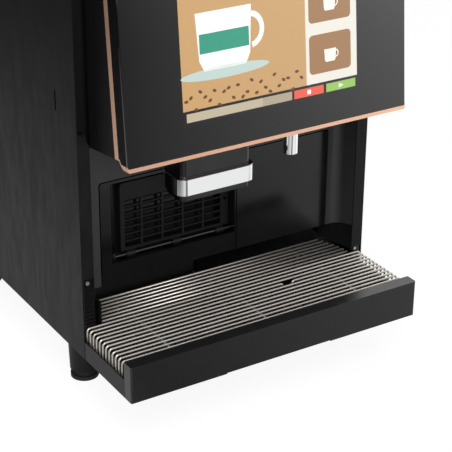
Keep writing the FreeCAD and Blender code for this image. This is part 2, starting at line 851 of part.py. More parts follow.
def hinge_arm(z):
    """Door-side knuckle above an ear, joined to the door's side wall by a web."""
    hinge_x = width - hinge_inset
    barrel = cyl(4.7, hinge_x, hinge_y, z + 2 + clear, z + 15)
    web = box(slab_right, hinge_x, hinge_y - 3, hinge_y + 3, z + 2 + clear, z + 15)
    leaf = box(slab_right, slab_right + 1.5, hinge_y - 14, hinge_y + 4, z + 2 + clear, z + 25)
    return fuse([barrel, web, leaf]).cut(cyl(hinge_pin_r + shaft_fit, hinge_x, hinge_y, z, z + 20))


def make_door_body():
    """Sheet shell of the door with its lock sleeve and hinge arms."""
    shell = prism_x(body_profile(0), slab_left, slab_right)
    hollow = prism_x(body_profile(door_wall), slab_left + door_wall, slab_right - door_wall)
    head_hole = rounded_block(block_left, block_right, block_front, block_back, deck_z - 13, block_top + 10,
                              block_corner)
    spout_hole = cyl(spout_d / 2, spout_x, outlet_y, deck_z - 13, deck_z + 27)
    wiring_hole = leaned(box(screen_left + 10, screen_right - 10, slab_foot_y + trim_back - 3,
                             slab_foot_y + trim_back + 14, slab_z0 + screen_foot + 30,
                             slab_z1 - screen_head - 30))
    lock_hole = cyl_x(lock_r, slab_left - 1, slab_left + door_wall + 1, lock_y, lock_z)
    shell = cut(shell, [hollow, head_hole, spout_hole, wiring_hole, lock_hole])
    sleeve = cyl_x(lock_r, slab_left - 1.2, slab_left + 16, lock_y, lock_z)
    collar = cyl_x(lock_r + 2.5, slab_left - 1.2, slab_left, lock_y, lock_z)
    lock_bore = cyl_x(lock_core_r + shaft_fit, slab_left - 2, slab_left + 17, lock_y, lock_z)
    return fuse([shell, sleeve, collar] + [hinge_arm(z) for z in hinge_levels]).cut(lock_bore)


def make_lock_cylinder():
    """Lock core with a key slot outside and its turning cam inside the door."""
    core = cyl_x(lock_core_r, slab_left - 1.4, slab_left + 18, lock_y, lock_z)
    keyway = box(slab_left - 2, slab_left + 3, lock_y - 0.8, lock_y + 0.8, lock_z - 3.5, lock_z + 3.5)
    cam = box(slab_left + 18, slab_left + 20.5, lock_y - 6, lock_y + 25.6, lock_z - 6, lock_z + 6)
    return fuse([core, cam]).cut(keyway)


def make_hinge_brackets():
    """Ears on the right panel's strip, each with the pin that a door knuckle turns on."""
    hinge_x = width - hinge_inset
    brackets = []
    for z in hinge_levels:
        foot = box(hinge_x - 6.8, hinge_x + 6.8, -2, 0, z - 14, z + 14)
        ear = rounded_block(hinge_x - 5.8, hinge_x + 6.8, hinge_y * 2, -0.5, z - 2, z + 2, [5, 5, 0, 0])
        pin = turned([(0, z - 3.5), (4.6, z - 3.5), (4.6, z - 2), (hinge_pin_r, z - 2),
                      (hinge_pin_r, z + 16), (0, z + 16)], hinge_x, hinge_y)
        brackets.append(fuse([foot, ear, pin]))
    return separate(brackets)


# Outlet head and hot-water spout

head_low = niche_top - head_drop
band_low = niche_top - band_drop
nozzle_plate_low = head_low + 12
nozzle_plate_top = head_low + 15


def make_head_block():
    """Block below the door, hollow underneath round the nozzles, with a duct to the door."""
    block = rounded_block(block_left, block_right, block_front, block_back, head_low, block_top, block_corner)
    hollow = rounded_block(block_left + 3, block_right - 3, block_front + 3, block_back - 3, head_low - 1,
                           nozzle_plate_top, 4)
    return cut(block, [hollow, cyl(9, head_x, outlet_y, nozzle_plate_top - 1, block_top + 1)])


def make_chrome_band():
    band = rounded_block(head_x - head_w / 2, head_x + head_w / 2, head_front, head_back, band_low,
                         band_low + band_height, head_corner)
    rims = [e for e in band.Edges if e.BoundBox.ZLength < 0.01]
    core = rounded_block(block_left, block_right, block_front, block_back, band_low - 1,
                         band_low + band_height + 1, block_corner)
    return band.makeChamfer(band_chamfer, rims).cut(core)


def make_outlet_nozzles():
    """Plate with two coffee tips and a wider milk-drink tip between them."""
    plate = rounded_block(block_left + 3, block_right - 3, block_front + 3, block_back - 3, nozzle_plate_low,
                          nozzle_plate_top, 4)
    tips = [(head_x - nozzle_spread, 5.5, 3.2), (head_x, 7.0, 4.2), (head_x + nozzle_spread, 5.5, 3.2)]
    outside = [cyl(r, x, outlet_y, head_low + 2, nozzle_plate_low + 0.5) for x, r, bore in tips]
    bores = [cyl(bore, x, outlet_y, head_low, nozzle_plate_top + 1) for x, r, bore in tips]
    return cut(fuse([plate] + outside), bores)


def make_water_spout():
    """Bright tube with a flange that holds it in the door's floor."""
    low = niche_top - spout_drop
    r = spout_d / 2
    return turned([(r - 1.5, low), (r, low), (r, deck_z + 10.5), (r + 5, deck_z + 10.5), (r + 5, deck_z + 15),
                   (r, deck_z + 15), (r, deck_z + 19), (r - 1.5, deck_z + 19)], spout_x, outlet_y)


# Top: rimmed cover, clear bean hopper with a gate, hopper lid and refill lid

hopper_top = height + hopper_rise
funnel_low = height - hopper_drop + 25
neck_low = height - hopper_drop
lid_axis_y = hopper_back + 4.5
lid_barrel_w = 20
lid_barrels = [hopper_left + 22, hopper_right - 42]
refill_axis_y = refill_back + 5
refill_axis_z = cover_top + 4.2
refill_barrel_w = 24
refill_barrels = [refill_left + 24, refill_right - 48]
ear_w = 5.4
ear_gap = 0.6


def ear_places(barrels, barrel_w):
    """Left faces of the ears on both sides of each lid barrel."""
    places = []
    for x in barrels:
        places += [x - ear_gap - ear_w, x + barrel_w + ear_gap]
    return places


def hopper_inset(d):
    return hopper_left + d, hopper_right - d, hopper_front + d, hopper_back - d


def make_top_cover():
    """Shallow cover with a turned-down rim, two openings and the refill lid's ears."""
    outer = rounded_block(0, width, 0, depth, height, cover_top, 6)
    inner = rounded_block(3, width - 3, 3, depth - 3, height - 1, cover_top - 3, 4)
    hopper_hole = box(*hopper_inset(4), height, cover_top + 1)
    refill_hole = rounded_block(refill_left + 8, refill_right - 8, refill_front + 8, refill_back - 16, height,
                                cover_top + 1, 8)
    ears = [box(x, x + ear_w, refill_axis_y - 4, refill_axis_y + 4, cover_top, cover_top + 8.4)
            for x in ear_places(refill_barrels, refill_barrel_w)]
    pin_hole = cyl_x(lid_pin_r, refill_left, width, refill_axis_y, refill_axis_z)
    return fuse([cut(outer, [inner, hopper_hole, refill_hole])] + ears).cut(pin_hole)


def neck_square(r):
    return neck_x - r, neck_x + r, neck_y - r, neck_y + r


def make_bean_hopper():
    """Clear bin over the cover, funnel and gated neck below it, ears for the lid."""
    wall = hopper_wall
    drop_low = funnel_low + 32
    outside = [rounded_block(*hopper_inset(0), cover_top, hopper_top, hopper_corner),
               box(*hopper_inset(5), drop_low, cover_top + 1),
               frustum(neck_square(neck_r + wall), funnel_low, hopper_inset(5), drop_low),
               cyl(neck_r + wall, neck_x, neck_y, neck_low, funnel_low + 1)]
    inside = [rounded_block(*hopper_inset(wall), cover_top + wall, hopper_top + 1, hopper_corner - wall),
              box(*hopper_inset(5 + wall), drop_low + 2, cover_top + wall + 1),
              frustum(neck_square(neck_r - 1), funnel_low - 0.5, hopper_inset(5 + wall), drop_low + 2),
              cyl(neck_r, neck_x, neck_y, neck_low - 1, funnel_low + 1)]
    ears = [box(x, x + ear_w, hopper_back - 0.5, lid_axis_y + 4, hopper_top - 14, hopper_top + 3)
            for x in ear_places(lid_barrels, lid_barrel_w)]
    pin_hole = cyl_x(lid_pin_r, hopper_left, hopper_right + 10, lid_axis_y, hopper_top)
    gate_way = box(neck_x - 40, neck_x + neck_r - 0.5, neck_y - 16, neck_y + 16, neck_low + 10 - clear,
                   neck_low + 12 + clear)
    return cut(fuse([cut(fuse(outside), inside)] + ears), [pin_hole, gate_way])


def make_hopper_gate():
    """Slide that closes the neck, drawn fully open."""
    z = neck_low + 10
    plate = box(neck_x - 62, neck_x - neck_r - 0.5, neck_y - 15.6, neck_y + 15.6, z, z + 2)
    knob = box(neck_x - 66, neck_x - 60, neck_y - 12, neck_y + 12, z - 4, z + 6)
    return fuse([plate, knob])


def make_hopper_lid():
    """Flat lid with an inner lip, a finger grip and two hinge barrels."""
    x0, x1, y0, y1 = hopper_inset(-2)
    skin = rounded_block(x0, x1, y0, y1, hopper_top, hopper_top + lid_thick, hopper_corner + 1)
    lip = rounded_block(hopper_left + 4, hopper_right - 4, hopper_front + 4, hopper_back - 12, hopper_top - 6,
                        hopper_top + 1, hopper_corner - 4)
    lip_in = rounded_block(hopper_left + 6, hopper_right - 6, hopper_front + 6, hopper_back - 14,
                           hopper_top - 7, hopper_top, hopper_corner - 6)
    middle = (hopper_left + hopper_right) / 2
    grip = rounded_block(middle - 16, middle + 16, hopper_front - 8, hopper_front + 1, hopper_top,
                         hopper_top + lid_thick, [4, 4, 0, 0])
    hinge = []
    for x in lid_barrels:
        end = x + lid_barrel_w
        hinge.append(cyl_x(3.6, x, end, lid_axis_y, hopper_top))
        hinge.append(box(x, end, hopper_back - 6, lid_axis_y, hopper_top, hopper_top + lid_thick))
    bore = cyl_x(lid_pin_r + shaft_fit, hopper_left, hopper_right + 10, lid_axis_y, hopper_top)
    ear_room = [box(x - ear_gap, x + ear_w + ear_gap, hopper_back - 4, lid_axis_y + 6, hopper_top - 20,
                    hopper_top + 8) for x in ear_places(lid_barrels, lid_barrel_w)]
    return cut(fuse([skin, lip.cut(lip_in), grip] + hinge), ear_room + [bore])


def make_refill_lid():
    """Lid over the powder canisters with an inner lip and two hinge barrels."""
    top = cover_top + 4
    plate = rounded_block(refill_left, refill_right, refill_front, refill_back - 4, cover_top, top, 10)
    lip = rounded_block(refill_left + 10, refill_right - 10, refill_front + 10, refill_back - 30,
                        cover_top - 6, cover_top + 1, 7)
    lip_in = rounded_block(refill_left + 12, refill_right - 12, refill_front + 12, refill_back - 32,
                           cover_top - 7, cover_top, 5)
    hinge = []
    for x in refill_barrels:
        hinge.append(cyl_x(4, x, x + refill_barrel_w, refill_axis_y, refill_axis_z))
        hinge.append(box(x, x + refill_barrel_w, refill_back - 12, refill_axis_y, cover_top + 0.2, top))
    bore = cyl_x(lid_pin_r + shaft_fit, refill_left, width, refill_axis_y, refill_axis_z)
    return fuse([plate, lip.cut(lip_in)] + hinge).cut(bore)


def make_lid_pins():
    """One pin through each pair of ears."""
    pins = []
    for barrels, barrel_w, y, z in ((lid_barrels, lid_barrel_w, lid_axis_y, hopper_top),
                                    (refill_barrels, refill_barrel_w, refill_axis_y, refill_axis_z)):
        for x in barrels:
            reach = ear_gap + ear_w
            pins.append(cyl_x(lid_pin_r, x - reach, x + barrel_w + reach, y, z))
    return separate(pins)


# Grinder under the hopper neck

collar_top = neck_low - neck_gap
collar_low = collar_top - collar_high
chute_low = collar_low - chute_drop
brew_front = brew_y - 30


def make_grinder():
    """Motor on a bridge, burr chamber with its cone, and the chute to the brew unit."""
    foot_top = collar_low - 120
    body = turned([(0, foot_top), (38, foot_top), (38, collar_low - 30), (42, collar_low - 30),
                   (42, collar_low), (30, collar_low), (30, collar_low - 14), (24, collar_low - 14),
                   (12, collar_low), (4, collar_low), (4, collar_low + 8), (0, collar_low + 8)],
                  neck_x, neck_y)
    bridge = [box(neck_x - 52, neck_x + 52, neck_y - 8, neck_y + 8, foot_top - 10, foot_top),
              box(neck_x - 52, neck_x - 46, neck_y - 8, neck_y + 8, deck_top, foot_top - 10),
              box(neck_x + 46, neck_x + 52, neck_y - 8, neck_y + 8, deck_top, foot_top - 10)]
    chute_y = brew_y - 12
    chute = prism_x([(neck_y - 39, collar_low - 18), (chute_y, collar_low - 30), (chute_y, chute_low),
                     (chute_y + 12, chute_low), (neck_y - 39, collar_low - 34)], brew_x - 12, brew_x + 12)
    return fuse([body, chute] + bridge)


def make_grind_collar():
    """Ribbed adjusting ring with the neck that meets the hopper."""
    outer = ring_of(24, 36, neck_x, neck_y)
    inner = ring_of(24, 33.5, neck_x, neck_y, math.pi / 24)
    ribs = prism_z([p for pair in zip(outer, inner) for p in pair], collar_low, collar_low + 15)
    neck = cyl(22, neck_x, neck_y, collar_low + 15, collar_top)
    return fuse([ribs, neck]).cut(cyl(neck_r, neck_x, neck_y, collar_low - 1, collar_top + 1))


# Brew unit: frame with its outlet, chamber, piston on a rack, pinion with its motor

gear_r = gear_module * gear_teeth / 2
tooth_step = math.pi * gear_module
tooth_high = 0.85 * gear_module
tooth_deep = 1.25 * gear_module
rack_root_y = brew_y - 11
rack_left = brew_x - 4
rack_right = brew_x + 4
gear_y = rack_root_y - tooth_deep - gear_r
rack_low = deck_z + 113
rack_first_z = deck_z + 116
gear_z = rack_first_z + 3.5 * tooth_step
chamber_low = deck_z + 31
chamber_high = deck_z + 99
frame_high = deck_z + 123
motor_shaft_r = 3.0


def make_brew_frame():
    """Side plates, back and floor, the motor bracket and the outlet funnel."""
    left = brew_x - 34
    right = brew_x + 34
    back = brew_y + 30
    plates = [box(left, left + 3, brew_front, back, deck_top, frame_high),
              box(right - 3, right, brew_front, back, deck_top, frame_high),
              box(left, right, back - 3, back, deck_top, frame_high),
              box(left, right, brew_front, back, chamber_low - 4, chamber_low),
              box(left, left + 3, brew_front, brew_y - 6, frame_high - 1, gear_z + 18)]
    frame = cut(fuse(plates), [cyl(piston_r, brew_x, brew_y, chamber_low - 5, chamber_low + 1),
                               cyl_x(9.2, left - 1, left + 4, gear_y, gear_z)])
    funnel_z = deck_z + 11
    funnel = turned([(0, funnel_z), (8, funnel_z), (24, funnel_z + 16), (21, funnel_z + 16),
                     (5, funnel_z + 1.2), (0, funnel_z + 1.2)], brew_x, brew_y)
    pipe = cyl_y(7, brew_x, 8, brew_y - 4, funnel_z + 3)
    bore = cyl_y(4.5, brew_x, 7, brew_y, funnel_z + 3)
    return fuse([frame, fuse([funnel, pipe]).cut(bore)])


def make_brew_chamber():
    r = piston_r + 0.1
    outer = piston_r + chamber_wall
    rim = chamber_high - 8
    return turned([(r, chamber_low), (outer, chamber_low), (outer, rim), (outer + 0.9, rim),
                   (outer + 0.9, chamber_high), (r, chamber_high)], brew_x, brew_y)


def make_brew_piston():
    """Piston with its rod and a rack whose teeth mesh with the pinion."""
    head = turned([(0, chamber_high + 2.5), (piston_r, chamber_high + 2.5), (piston_r, chamber_high + 16),
                   (6, chamber_high + 16), (6, chamber_high + 48), (0, chamber_high + 48)], brew_x, brew_y)
    rack = box(rack_left, rack_right, rack_root_y, brew_y, rack_low, deck_z + rack_rise)
    slope = math.tan(math.radians(pressure_angle))
    half = tooth_step / 4 - backlash / 2
    root = half + tooth_deep * slope
    tip = half - tooth_high * slope
    root_y = rack_root_y + 0.2
    tip_y = rack_root_y - tooth_deep - tooth_high
    teeth = []
    for i in range(rack_teeth):
        z = rack_first_z + i * tooth_step
        profile = [(root_y, z - root), (tip_y, z - tip), (tip_y, z + tip), (root_y, z + root)]
        teeth.append(prism_x(profile, rack_left, rack_right))
    return fuse([head, rack] + teeth)


def involute_gear(x0, x1, y, z):
    """Spur gear with a tooth towards +y; its flanks are involutes sampled at a few radii."""
    base = gear_r * math.cos(math.radians(pressure_angle))
    roll = math.sqrt((gear_r / base) ** 2 - 1)
    half = (tooth_step / 2 - backlash) / 2 / gear_r + roll - math.atan(roll)
    tip_r = gear_r + tooth_high
    flank = [(gear_r - tooth_deep, half)]
    for k in range(4):
        r = base + (tip_r - base) * k / 3
        t = math.sqrt(max((r / base) ** 2 - 1, 0))
        flank.append((r, half - (t - math.atan(t))))
    points = []
    for k in range(gear_teeth):
        mid = 2 * math.pi * k / gear_teeth
        for r, a in flank:
            points.append((y + r * math.cos(mid - a), z + r * math.sin(mid - a)))
        for r, a in reversed(flank):
            points.append((y + r * math.cos(mid + a), z + r * math.sin(mid + a)))
    return prism_x(points, x0, x1)


def make_brew_pinion():
    shaft = cyl_x(motor_shaft_r, brew_x - 42, rack_right + 6, gear_y, gear_z)
    return fuse([involute_gear(rack_left, rack_right, gear_y, gear_z), shaft])


def gear_motor():
    """Gear motor on the outside of the brew frame's left plate."""
    plate_x = brew_x - 34
    body = box(plate_x - 26, plate_x, gear_y - 15, gear_y + 15, gear_z - 15, gear_z + 15)
    boss = cyl_x(9, plate_x, plate_x + 4, gear_y, gear_z)
    bore = cyl_x(motor_shaft_r + shaft_fit, brew_x - 42.5, plate_x + 8, gear_y, gear_z)
    return fuse([body, boss]).cut(bore)


# Powder canisters with augers, and the mixing bowl that both chutes feed

auger_z = canister_low + 16
canister_sides = [(canister_left_x, 1), (canister_right_x, -1)]
bowl_x = canister_right_x - canister_gap / 2
bowl_y = canister_front - 6
bowl_z = deck_z + 77
whip_z = bowl_z + 13
whip_shaft_r = 2.5


def canister(x0, side):
    """Upright bin on a trough, with a front elbow whose chute leans to the mixing bowl."""
    x1 = x0 + canister_w
    xm = x0 + canister_w / 2
    w = canister_wall
    front, back, low = canister_front, canister_back, canister_low
    shell = rounded_block(x0, x1, front, back, low + 30, canister_high, 6)
    hollow = rounded_block(x0 + w, x1 - w, front + w, back - w, low + 28, canister_high + 1, 4)
    trough = prism_y([(x0, low + 32), (xm - 16, low), (xm + 16, low), (x1, low + 32)], front, back)
    trough_in = prism_y([(x0 + w, low + 33), (xm - 14, low + 3), (xm + 14, low + 3), (x1 - w, low + 33)],
                        front + w, back - w)
    elbow = cyl_y(auger_r + 5, xm, front - 22, front, auger_z)
    foot_z = bowl_z + 54
    shift_x = 18 * side
    chute = prism_y([(xm - 11, auger_z), (xm + 11, auger_z), (xm + 11 + shift_x, foot_z),
                     (xm - 11 + shift_x, foot_z)], front - 22, front - 6)
    chute_in = prism_y([(xm - 9, auger_z + 4), (xm + 9, auger_z + 4), (xm + 9 + shift_x + side, foot_z - 2),
                        (xm - 9 + shift_x + side, foot_z - 2)], front - 20, front - 8)
    bin_solid = cut(fuse([shell, trough]), [hollow, trough_in])
    return cut(fuse([bin_solid, elbow, chute]),
               [chute_in, cyl_y(auger_r + 2, xm, front - 19, front + 4, auger_z),
                cyl_y(auger_core_r + 0.2, xm, back - 4, back + 1, auger_z)])


def auger(x0):
    """Dosing screw, its flights drawn as discs on the core."""
    xm = x0 + canister_w / 2
    core = cyl_y(auger_core_r, xm, canister_front - 14, canister_back + 8, auger_z)
    first = canister_front - 4
    flights = [cyl_y(auger_r, xm, first + i * auger_pitch, first + i * auger_pitch + 2.5, auger_z)
               for i in range(auger_flights)]
    return fuse([core] + flights)


def auger_motor(x0):
    """Gear motor between the canister's back and the bulkhead."""
    xm = x0 + canister_w / 2
    body = box(xm - 18, xm + 18, canister_back + 0.5, bulkhead_y, auger_z - 18, auger_z + 18)
    return body.cut(cyl_y(auger_core_r + shaft_fit, xm, canister_back, canister_back + 8.3, auger_z))


def make_mixing_bowl():
    """Funnel bowl over a whipping well with its outlet to the front."""
    bowl = turned([(0, bowl_z), (15, bowl_z), (15, bowl_z + 23.5), (32, bowl_z + 46), (34, bowl_z + 46),
                   (34, bowl_z + 50), (30, bowl_z + 50), (30, bowl_z + 47), (12, bowl_z + 25),
                   (12, bowl_z + 2), (0, bowl_z + 2)], bowl_x, bowl_y)
    outlet = cyl_y(5.5, bowl_x, bowl_y - 32, bowl_y - 13.5, bowl_z + 7)
    return cut(fuse([bowl, outlet]), [cyl_y(3.6, bowl_x, bowl_y - 33, bowl_y - 10, bowl_z + 7),
                                      cyl_y(whip_shaft_r + clear, bowl_x, bowl_y + 8, bowl_y + 20, whip_z)])


def make_whipper():
    """Whipping cross on its shaft."""
    shaft = cyl_y(whip_shaft_r, bowl_x, bowl_y - 4, bowl_y + 62, whip_z)
    vanes = [box(bowl_x - 8, bowl_x + 8, bowl_y - 5, bowl_y - 2, whip_z - 1, whip_z + 1),
             box(bowl_x - 1, bowl_x + 1, bowl_y - 5, bowl_y - 2, whip_z - 8, whip_z + 8)]
    return fuse([shaft] + vanes)


def whip_motor():
    """Whipper motor on a pedestal that also carries the mixing bowl."""
    body = cyl_y(18, bowl_x, bowl_y + 22, bowl_y + 84, whip_z)
    pedestal = [box(bowl_x - 12, bowl_x + 12, bowl_y + 26, bowl_y + 80, deck_top, bowl_z),
                box(bowl_x - 12, bowl_x + 12, bowl_y - 14, bowl_y + 30, deck_top, deck_top + 4),
                box(bowl_x - 6, bowl_x + 6, bowl_y - 6, bowl_y + 6, deck_top, bowl_z)]
    bore = cyl_y(whip_shaft_r + shaft_fit, bowl_x, bowl_y + 20, bowl_y + 62.3, whip_z)
    return fuse([body] + pedestal).cut(bore)


# Rear compartment: boiler, pump, power supply and fan

rear_middle_y = (bulkhead_y + frame_sheet + inner_back) / 2


def make_boiler():
    """Flanged boiler on two feet with two pipe stubs."""
    x, y = boiler_x, rear_middle_y
    rim, wall = boiler_r, boiler_r - 4
    low = deck_top + 10
    high = low + boiler_height
    shell = turned([(0, low), (rim, low), (rim, low + 6), (wall, low + 6), (wall, high - 6),
                    (rim, high - 6), (rim, high), (0, high)], x, y)
    feet = [box(x + dx, x + dx + 8, y - 8, y + 8, deck_top, low) for dx in (-30, 22)]
    ports = [cyl(5, x - 10, y, high, high + 14), cyl(5, x + 12, y, high, high + 10)]
    return fuse([shell] + feet + ports)


def make_pump():
    """Vibrating pump with a thinner outlet end, on a foot between the power supply's feet."""
    x = width - pump_inset
    y = bulkhead_y + 38
    end = y + pump_length
    z = deck_z + pump_r + 4
    return fuse([cyl_y(pump_r, x, y, end, z), cyl_y(pump_r * 0.45, x, end, end + 26, z),
                 box(x - 16, x + 16, y + 6, end - 6, deck_top, z - pump_r * 0.8)])


def make_power_supply():
    """Finned power supply on two feet."""
    x1 = width - supply_inset
    x0 = x1 - supply_width
    y0 = rear_middle_y - 28
    y1 = y0 + supply_depth
    z0 = deck_z + supply_rise
    z1 = z0 + supply_height
    body = box(x0, x1, y0, y1, z0, z1)
    feet = [box(x, x + 10, y0 + 6, y1 - 6, deck_top, z0) for x in (x0 + 6, x1 - 16)]
    fin_places = [x0 + 4 + fin_pitch * i for i in range(11)]
    fins = [box(x, x + 4, y0 + 4, y1 - 4, z1, z1 + 8) for x in fin_places]
    return fuse([body] + feet + fins)


def make_fan_housing():
    """Square frame on the rear sheet with a cross that carries the rotor's axle."""
    y0, y1 = rear_face - 27, rear_face - sheet
    half = fan_frame / 2
    arm = half - 2
    frame = box(fan_x - half, fan_x + half, y0, y1, fan_z - half, fan_z + half)
    frame = frame.cut(cyl_y(rotor_r + 1, fan_x, y0 - 1, y1 + 1, fan_z))
    cross = [box(fan_x - arm, fan_x + arm, rear_face - 5, rear_face - 2.2, fan_z - 2, fan_z + 2),
             box(fan_x - 2, fan_x + 2, rear_face - 5, rear_face - 2.2, fan_z - arm, fan_z + arm),
             cyl_y(12, fan_x, rear_face - 5, rear_face - 2.2, fan_z),
             cyl_y(2.4, fan_x, rear_face - 20, rear_face - 3, fan_z)]
    return fuse([frame] + cross)


def make_fan_rotor():
    """Hub with seven pitched blades, trimmed to the housing's bore."""
    blades = []
    for k in range(7):
        blade = box(fan_x + 11, fan_x + rotor_r - 1, rear_face - 22, rear_face - 20.5, fan_z - 9, fan_z + 9)
        blade.rotate(V(fan_x + 24, rear_face - 16, fan_z), V(1, 0, 0), 32)
        blade.rotate(V(fan_x, rear_face, fan_z), V(0, 1, 0), 360.0 / 7 * k)
        blades.append(blade)
    hub = cyl_y(13, fan_x, rear_face - 24, rear_face - 6, fan_z)
    swept = cyl_y(rotor_r, fan_x, rear_face - 25, rear_face - 6.5, fan_z)
    axle_hole = cyl_y(2.4 + shaft_fit, fan_x, rear_face - 20.2, rear_face, fan_z)
    return fuse([hub] + blades).common(swept).cut(axle_hole)


def make_grounds_bin():
    """Bin for used grounds on the floor pan, with a turned-out rim."""
    x0, x1, y0, y1 = bin_left, bin_right, splash_y + 8, bin_back
    top = bin_height
    outer = rounded_block(x0, x1, y0, y1, frame_sheet, top, 8)
    rim = rounded_block(x0 - 2, x1 + 2, y0 - 2, y1 + 2, top - 4, top, 10)
    inner = rounded_block(x0 + 2.5, x1 - 2.5, y0 + 2.5, y1 - 2.5, frame_sheet + 2.5, top + 1, 6)
    return fuse([outer, rim]).cut(inner)


# Rear connections

rocker_y = rear_face - 4
rocker_axle_r = 1.6


def make_mains_inlet():
    """Flanged appliance inlet with three flat pins in its socket."""
    flange = rounded_slab(inlet_x - 20, inlet_x + 20, rear_face, rear_face + 3, connection_z - 14,
                          connection_z + 14, 3)
    body = box(inlet_x - 14, inlet_x + 14, rear_face - 22, rear_face, connection_z - 10.5,
               connection_z + 10.5)
    socket = box(inlet_x - 12, inlet_x + 12, rear_face - 16, rear_face + 4, connection_z - 8.5,
                 connection_z + 8.5)
    pins = [box(inlet_x + dx - 1, inlet_x + dx + 1, rear_face - 17, rear_face - 4, connection_z + dz - 2,
                connection_z + dz + 2) for dx, dz in ((-7, -2), (0, 2), (7, -2))]
    return fuse([fuse([flange, body]).cut(socket)] + pins)


def make_switch_housing():
    """Flanged tub with the axle on which the rocker tilts."""
    flange = rounded_slab(switch_x - 13, switch_x + 13, rear_face, rear_face + 2, connection_z - 17,
                          connection_z + 17, 2)
    tub = box(switch_x - 11, switch_x + 11, rear_face - 20, rear_face, connection_z - 15, connection_z + 15)
    well = box(switch_x - 8.5, switch_x + 8.5, rear_face - 12, rear_face + 3, connection_z - 12.5,
               connection_z + 12.5)
    axle = cyl_x(rocker_axle_r, switch_x - 8.6, switch_x + 8.6, rocker_y, connection_z)
    return fuse([fuse([flange, tub]).cut(well), axle])


def make_power_rocker():
    profile = [(-4, -4), (2.5, -10.3), (6.5, -9.8), (4.6, 0), (3.4, 9.8), (0.8, 10.3), (-4, 4)]
    rocker = prism_x([(rocker_y + y, connection_z + z) for y, z in profile], switch_x - 8.1, switch_x + 8.1)
    return rocker.cut(cyl_x(rocker_axle_r + shaft_fit, switch_x - 9, switch_x + 9, rocker_y, connection_z))


def make_water_inlet():
    """Screw fitting in the rear sheet with a blind bore for the supply pipe."""
    face = rear_face - sheet
    body = fuse([cyl_y(12.4, water_x, face, rear_face, connection_z),
                 cyl_y(17, water_x, face - 5, face, connection_z),
                 cyl_y(9, water_x, rear_face - 34, face - 5, connection_z)])
    return body.cut(cyl_y(water_bore_r, water_x, rear_face - 30, rear_face + 1, connection_z))


def leg_stud(x, y):
    """Stud of a leg through the floor pan, with its nut."""
    nut = prism_z(ring_of(6, 7.2, x, y), frame_sheet, frame_sheet + 5.5)
    return cyl(stud_r, x, y, 0, frame_sheet + 7).fuse(nut)


def make_cabinet_fasteners():
    """Leg studs and nuts, shoe screws, and hexagon screws round the rear sheet."""
    screws = []
    for z in (30, 210, height - 240, height - 30):
        for x in (8.5, width - 8.5):
            head = [(px, pz) for px, pz in ring_of(6, 3.6, x, z)]
            screws.append(prism_y(head, rear_face, rear_face + 1.6))
    return separate([leg_stud(x, y) for x, y in leg_places] + shoe_screws + screws)


nodes = {
    "side_panel_left": make_side_panel_left(),
    "side_panel_right": make_side_panel_right(),
    "base_pan": make_base_pan(),
    "legs": make_legs(),
    "leg_feet": make_leg_feet(),
    "cabinet_fasteners": make_cabinet_fasteners(),
    "rear_panel": make_rear_panel(),
    "inner_frame": make_inner_frame(),
    "splash_wall": make_splash_wall(),
    "niche_lining": make_niche_lining(),
    "niche_skirts": make_niche_skirts(),
    "post_shoes": make_post_shoes(),
    "bay_panel": make_bay_panel(),
    "flat_panel": make_flat_panel(),
    "panel_carrier": make_panel_carrier(),
    "shelf_rod": make_shelf_rod(),
    "cup_shelf": make_cup_shelf(),
    "drip_tray": make_drip_tray(),
    "tray_fascia": make_tray_fascia(),
    "drip_grid": make_drip_grid(),
    "level_float": make_level_float(),
    "front_glass": make_front_glass(),
    "door_bezel": make_door_bezel(),
    "display_module": make_display_module(),
    "copper_trim": make_copper_trim(),
    "door_body": make_door_body(),
    "lock_cylinder": make_lock_cylinder(),
    "head_block": make_head_block(),
    "chrome_band": make_chrome_band(),
    "outlet_nozzles": make_outlet_nozzles(),
    "water_spout": make_water_spout(),
    "hinge_brackets": make_hinge_brackets(),
    "top_cover": make_top_cover(),
    "bean_hopper": make_bean_hopper(),
    "hopper_gate": make_hopper_gate(),
    "hopper_lid": make_hopper_lid(),
    "lid_pins": make_lid_pins(),
    "refill_lid": make_refill_lid(),
    "grinder": make_grinder(),
    "grind_collar": make_grind_collar(),
    "brew_frame": make_brew_frame(),
    "brew_chamber": make_brew_chamber(),
    "brew_piston": make_brew_piston(),
    "brew_pinion": make_brew_pinion(),
    "canisters": separate([canister(x, side) for x, side in canister_sides]),
    "auger_left": auger(canister_left_x),
    "auger_right": auger(canister_right_x),
    "mixing_bowl": make_mixing_bowl(),
    "whipper": make_whipper(),
    "drive_motors": separate([auger_motor(x) for x, side in canister_sides] + [whip_motor(), gear_motor()]),
    "boiler": make_boiler(),
    "pump": make_pump(),
    "power_supply": make_power_supply(),
    "fan_housing": make_fan_housing(),
    "fan_rotor": make_fan_rotor(),
    "grounds_bin": make_grounds_bin(),
    "mains_inlet": make_mains_inlet(),
    "switch_housing": make_switch_housing(),
    "power_rocker": make_power_rocker(),
    "water_inlet": make_water_inlet(),
}

os.makedirs("parts", exist_ok=True)
shift = V(-width / 2, -(depth - tray_depth) / 2, leg_height)
for name, shape in nodes.items():
    placed = shape.copy()
    placed.translate(shift)
    placed.exportStep("parts/" + name + ".step")
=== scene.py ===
"""Looks of a bean-to-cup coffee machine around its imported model."""
import math

import bmesh
import bpy
from bpy.props import FloatProperty, FloatVectorProperty, PointerProperty
from mathutils import Matrix, Vector


